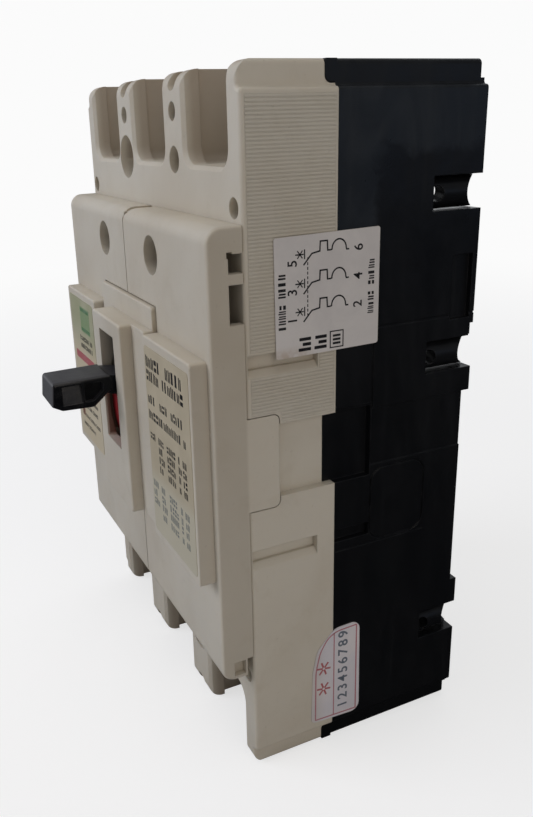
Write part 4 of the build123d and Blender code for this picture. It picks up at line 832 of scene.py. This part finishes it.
def stage_floor():
    bm = bmesh.new()
    bmesh.ops.create_circle(bm, cap_ends=True, radius=6.0, segments=96)
    for v in bm.verts:
        v.co.z = FLOOR_Z
    me = bpy.data.meshes.new("floor")
    bm.to_mesh(me)
    bm.free()
    o = bpy.data.objects.new("floor", me)
    bpy.context.scene.collection.objects.link(o)
    g = Graph("floor_paper")
    n = g.noise(9.0, 3.0)
    col = g.mix(n, (0.62, 0.62, 0.62, 1), (0.60, 0.60, 0.605, 1))
    x, y, z = g.xyz()
    far = g.math("SQRT", g.math("ADD", g.math("MULTIPLY", x, x), g.math("MULTIPLY", y, y)))
    near = g.node("ShaderNodeAddShader")
    lit = g.node("ShaderNodeBsdfDiffuse")
    g.put(lit.inputs["Color"], g.mix(0.0, (0.42, 0.42, 0.42, 1), (0.42, 0.42, 0.42, 1)))
    glow = g.node("ShaderNodeEmission")
    glow.inputs["Color"].default_value = (0.66, 0.66, 0.66, 1)
    g.nt.links.new(lit.outputs[0], near.inputs[0])
    g.nt.links.new(glow.outputs[0], near.inputs[1])
    open_ = g.node("ShaderNodeEmission")
    open_.inputs["Color"].default_value = (0.965, 0.965, 0.965, 1)
    seen = g.node("ShaderNodeMixShader")
    g.put(seen.inputs[0], g.span(far, 0.14, 0.75))
    g.nt.links.new(near.outputs[0], seen.inputs[1])
    g.nt.links.new(open_.outputs[0], seen.inputs[2])
    bounce = g.node("ShaderNodeBsdfDiffuse")
    g.put(bounce.inputs["Color"], col)
    dim = g.node("ShaderNodeBsdfDiffuse")
    dim.inputs["Color"].default_value = (0.035, 0.035, 0.038, 1)
    lp = g.node("ShaderNodeLightPath")
    other = g.node("ShaderNodeMixShader")
    g.put(other.inputs[0], lp.outputs["Is Glossy Ray"])
    g.nt.links.new(bounce.outputs[0], other.inputs[1])
    g.nt.links.new(dim.outputs[0], other.inputs[2])
    mx = g.node("ShaderNodeMixShader")
    g.put(mx.inputs[0], lp.outputs["Is Camera Ray"])
    g.nt.links.new(other.outputs[0], mx.inputs[1])
    g.nt.links.new(seen.outputs[0], mx.inputs[2])
    g.nt.links.new(mx.outputs[0], g.out.inputs["Surface"])
    me.materials.append(g.mat)


def reflector(name, where, aim, w, h, colour):
    """A studio card that only shows as a reflection in glossy surfaces."""
    bm = bmesh.new()
    for q in ((-w / 2, -h / 2), (w / 2, -h / 2), (w / 2, h / 2), (-w / 2, h / 2)):
        bm.verts.new((q[0], q[1], 0))
    bm.faces.new(bm.verts[:])
    me = bpy.data.meshes.new(name)
    bm.to_mesh(me)
    bm.free()
    o = bpy.data.objects.new(name, me)
    bpy.context.scene.collection.objects.link(o)
    o.location = where
    o.rotation_mode = "QUATERNION"
    o.rotation_quaternion = (Vector(aim) - Vector(where)).to_track_quat("Z", "Y")
    g = Graph(name)
    lp = g.node("ShaderNodeLightPath")
    e = g.node("ShaderNodeEmission")
    e.inputs["Color"].default_value = colour + (1,)
    t = g.node("ShaderNodeBsdfTransparent")
    mx = g.node("ShaderNodeMixShader")
    g.put(mx.inputs[0], lp.outputs["Is Glossy Ray"])
    g.nt.links.new(t.outputs[0], mx.inputs[1])
    g.nt.links.new(e.outputs[0], mx.inputs[2])
    g.nt.links.new(mx.outputs[0], g.out.inputs["Surface"])
    me.materials.append(g.mat)


button_spring()
stage_floor()
reflector("card_side", (0.58, 0.29, 0.10), (0.03, 0.0, 0.08), 0.62, 0.20, (0.17, 0.21, 0.29))

world = bpy.data.worlds.new("studio")
bpy.context.scene.world = world
world.use_nodes = True
wt = world.node_tree
wt.nodes.clear()
w_out = wt.nodes.new("ShaderNodeOutputWorld")
w_mix = wt.nodes.new("ShaderNodeMixShader")
w_seen = wt.nodes.new("ShaderNodeBackground")
w_fill = wt.nodes.new("ShaderNodeBackground")
w_seen.inputs["Color"].default_value = (0.965, 0.965, 0.965, 1)
w_seen.inputs["Strength"].default_value = 1.0
w_fill.inputs["Color"].default_value = (0.88, 0.92, 1.0, 1)
w_fill.inputs["Strength"].default_value = 0.12
w_lp = wt.nodes.new("ShaderNodeLightPath")
wt.links.new(w_lp.outputs["Is Camera Ray"], w_mix.inputs[0])
wt.links.new(w_fill.outputs[0], w_mix.inputs[1])
wt.links.new(w_seen.outputs[0], w_mix.inputs[2])
wt.links.new(w_mix.outputs[0], w_out.inputs["Surface"])


def area(name, where, aim, size, power, colour, size_y=None):
    d = bpy.data.lights.new(name, "AREA")
    d.shape = "RECTANGLE"
    d.size = size
    d.size_y = size_y or size
    d.energy = power
    d.color = colour
    o = bpy.data.objects.new(name, d)
    bpy.context.scene.collection.objects.link(o)
    o.location = where
    o.rotation_mode = "QUATERNION"
    o.rotation_quaternion = (Vector(aim) - Vector(where)).to_track_quat("-Z", "Y")
    return o


C = (0.0, -0.03, 0.0)
area("key_front", (-0.30, -0.95, 0.50), C, 0.70, 4.75, (0.90, 0.918, 1.0))
area("side_soft", (0.95, -0.10, 0.30), C, 0.60, 1.95, (1.0, 0.905, 0.812), 0.9)
area("top_soft", (0.05, -0.05, 1.05), C, 0.9, 2.2, (1.0, 0.955, 0.91))
area("rear_fill", (-0.55, 0.85, 0.45), C, 0.9, 1.7, (0.95, 0.975, 1.0))
area("left_fill", (-0.95, -0.25, 0.15), C, 0.8, 1.0, (0.94, 0.96, 1.0))

# camera: azimuth, elevation and roll in degrees, distance in metres
AZ, EL, ROLL, DIST = 65.691, 18.695, -2.004, 0.22568
AIM = Vector((-0.76, -40.0, -1.59)) * MM
az, el, ro = math.radians(AZ), math.radians(EL), math.radians(ROLL)
back = Vector((math.sin(az) * math.cos(el), -math.cos(az) * math.cos(el), math.sin(el)))
right = Vector((0, 0, 1)).cross(back).normalized()
up = back.cross(right).normalized()
cr, sr = math.cos(ro), math.sin(ro)
rx = right * cr + up * sr
ry = right * (-sr) + up * cr
cam_data = bpy.data.cameras.new("camera")
cam = bpy.data.objects.new("camera", cam_data)
bpy.context.scene.collection.objects.link(cam)
m = Matrix.Identity(4)
for i in range(3):
    m[i][0], m[i][1], m[i][2] = rx[i], ry[i], back[i]
    m[i][3] = (AIM + back * DIST)[i]
cam.matrix_world = m
cam_data.sensor_fit = "AUTO"
cam_data.sensor_width = 36.0
cam_data.lens = 788.67 * 36.0 / 817.0
cam_data.shift_x = (266.5 - 228.91) / 817.0
cam_data.shift_y = (391.58 - 408.5) / 817.0
cam_data.clip_start = 0.005
cam_data.clip_end = 30.0
bpy.context.scene.camera = cam
bpy.context.scene.view_settings.view_transform = "Standard"
bpy.context.scene.view_settings.look = "None"
bpy.context.scene.view_settings.exposure = 0.0
bpy.context.scene.view_settings.gamma = 1.0
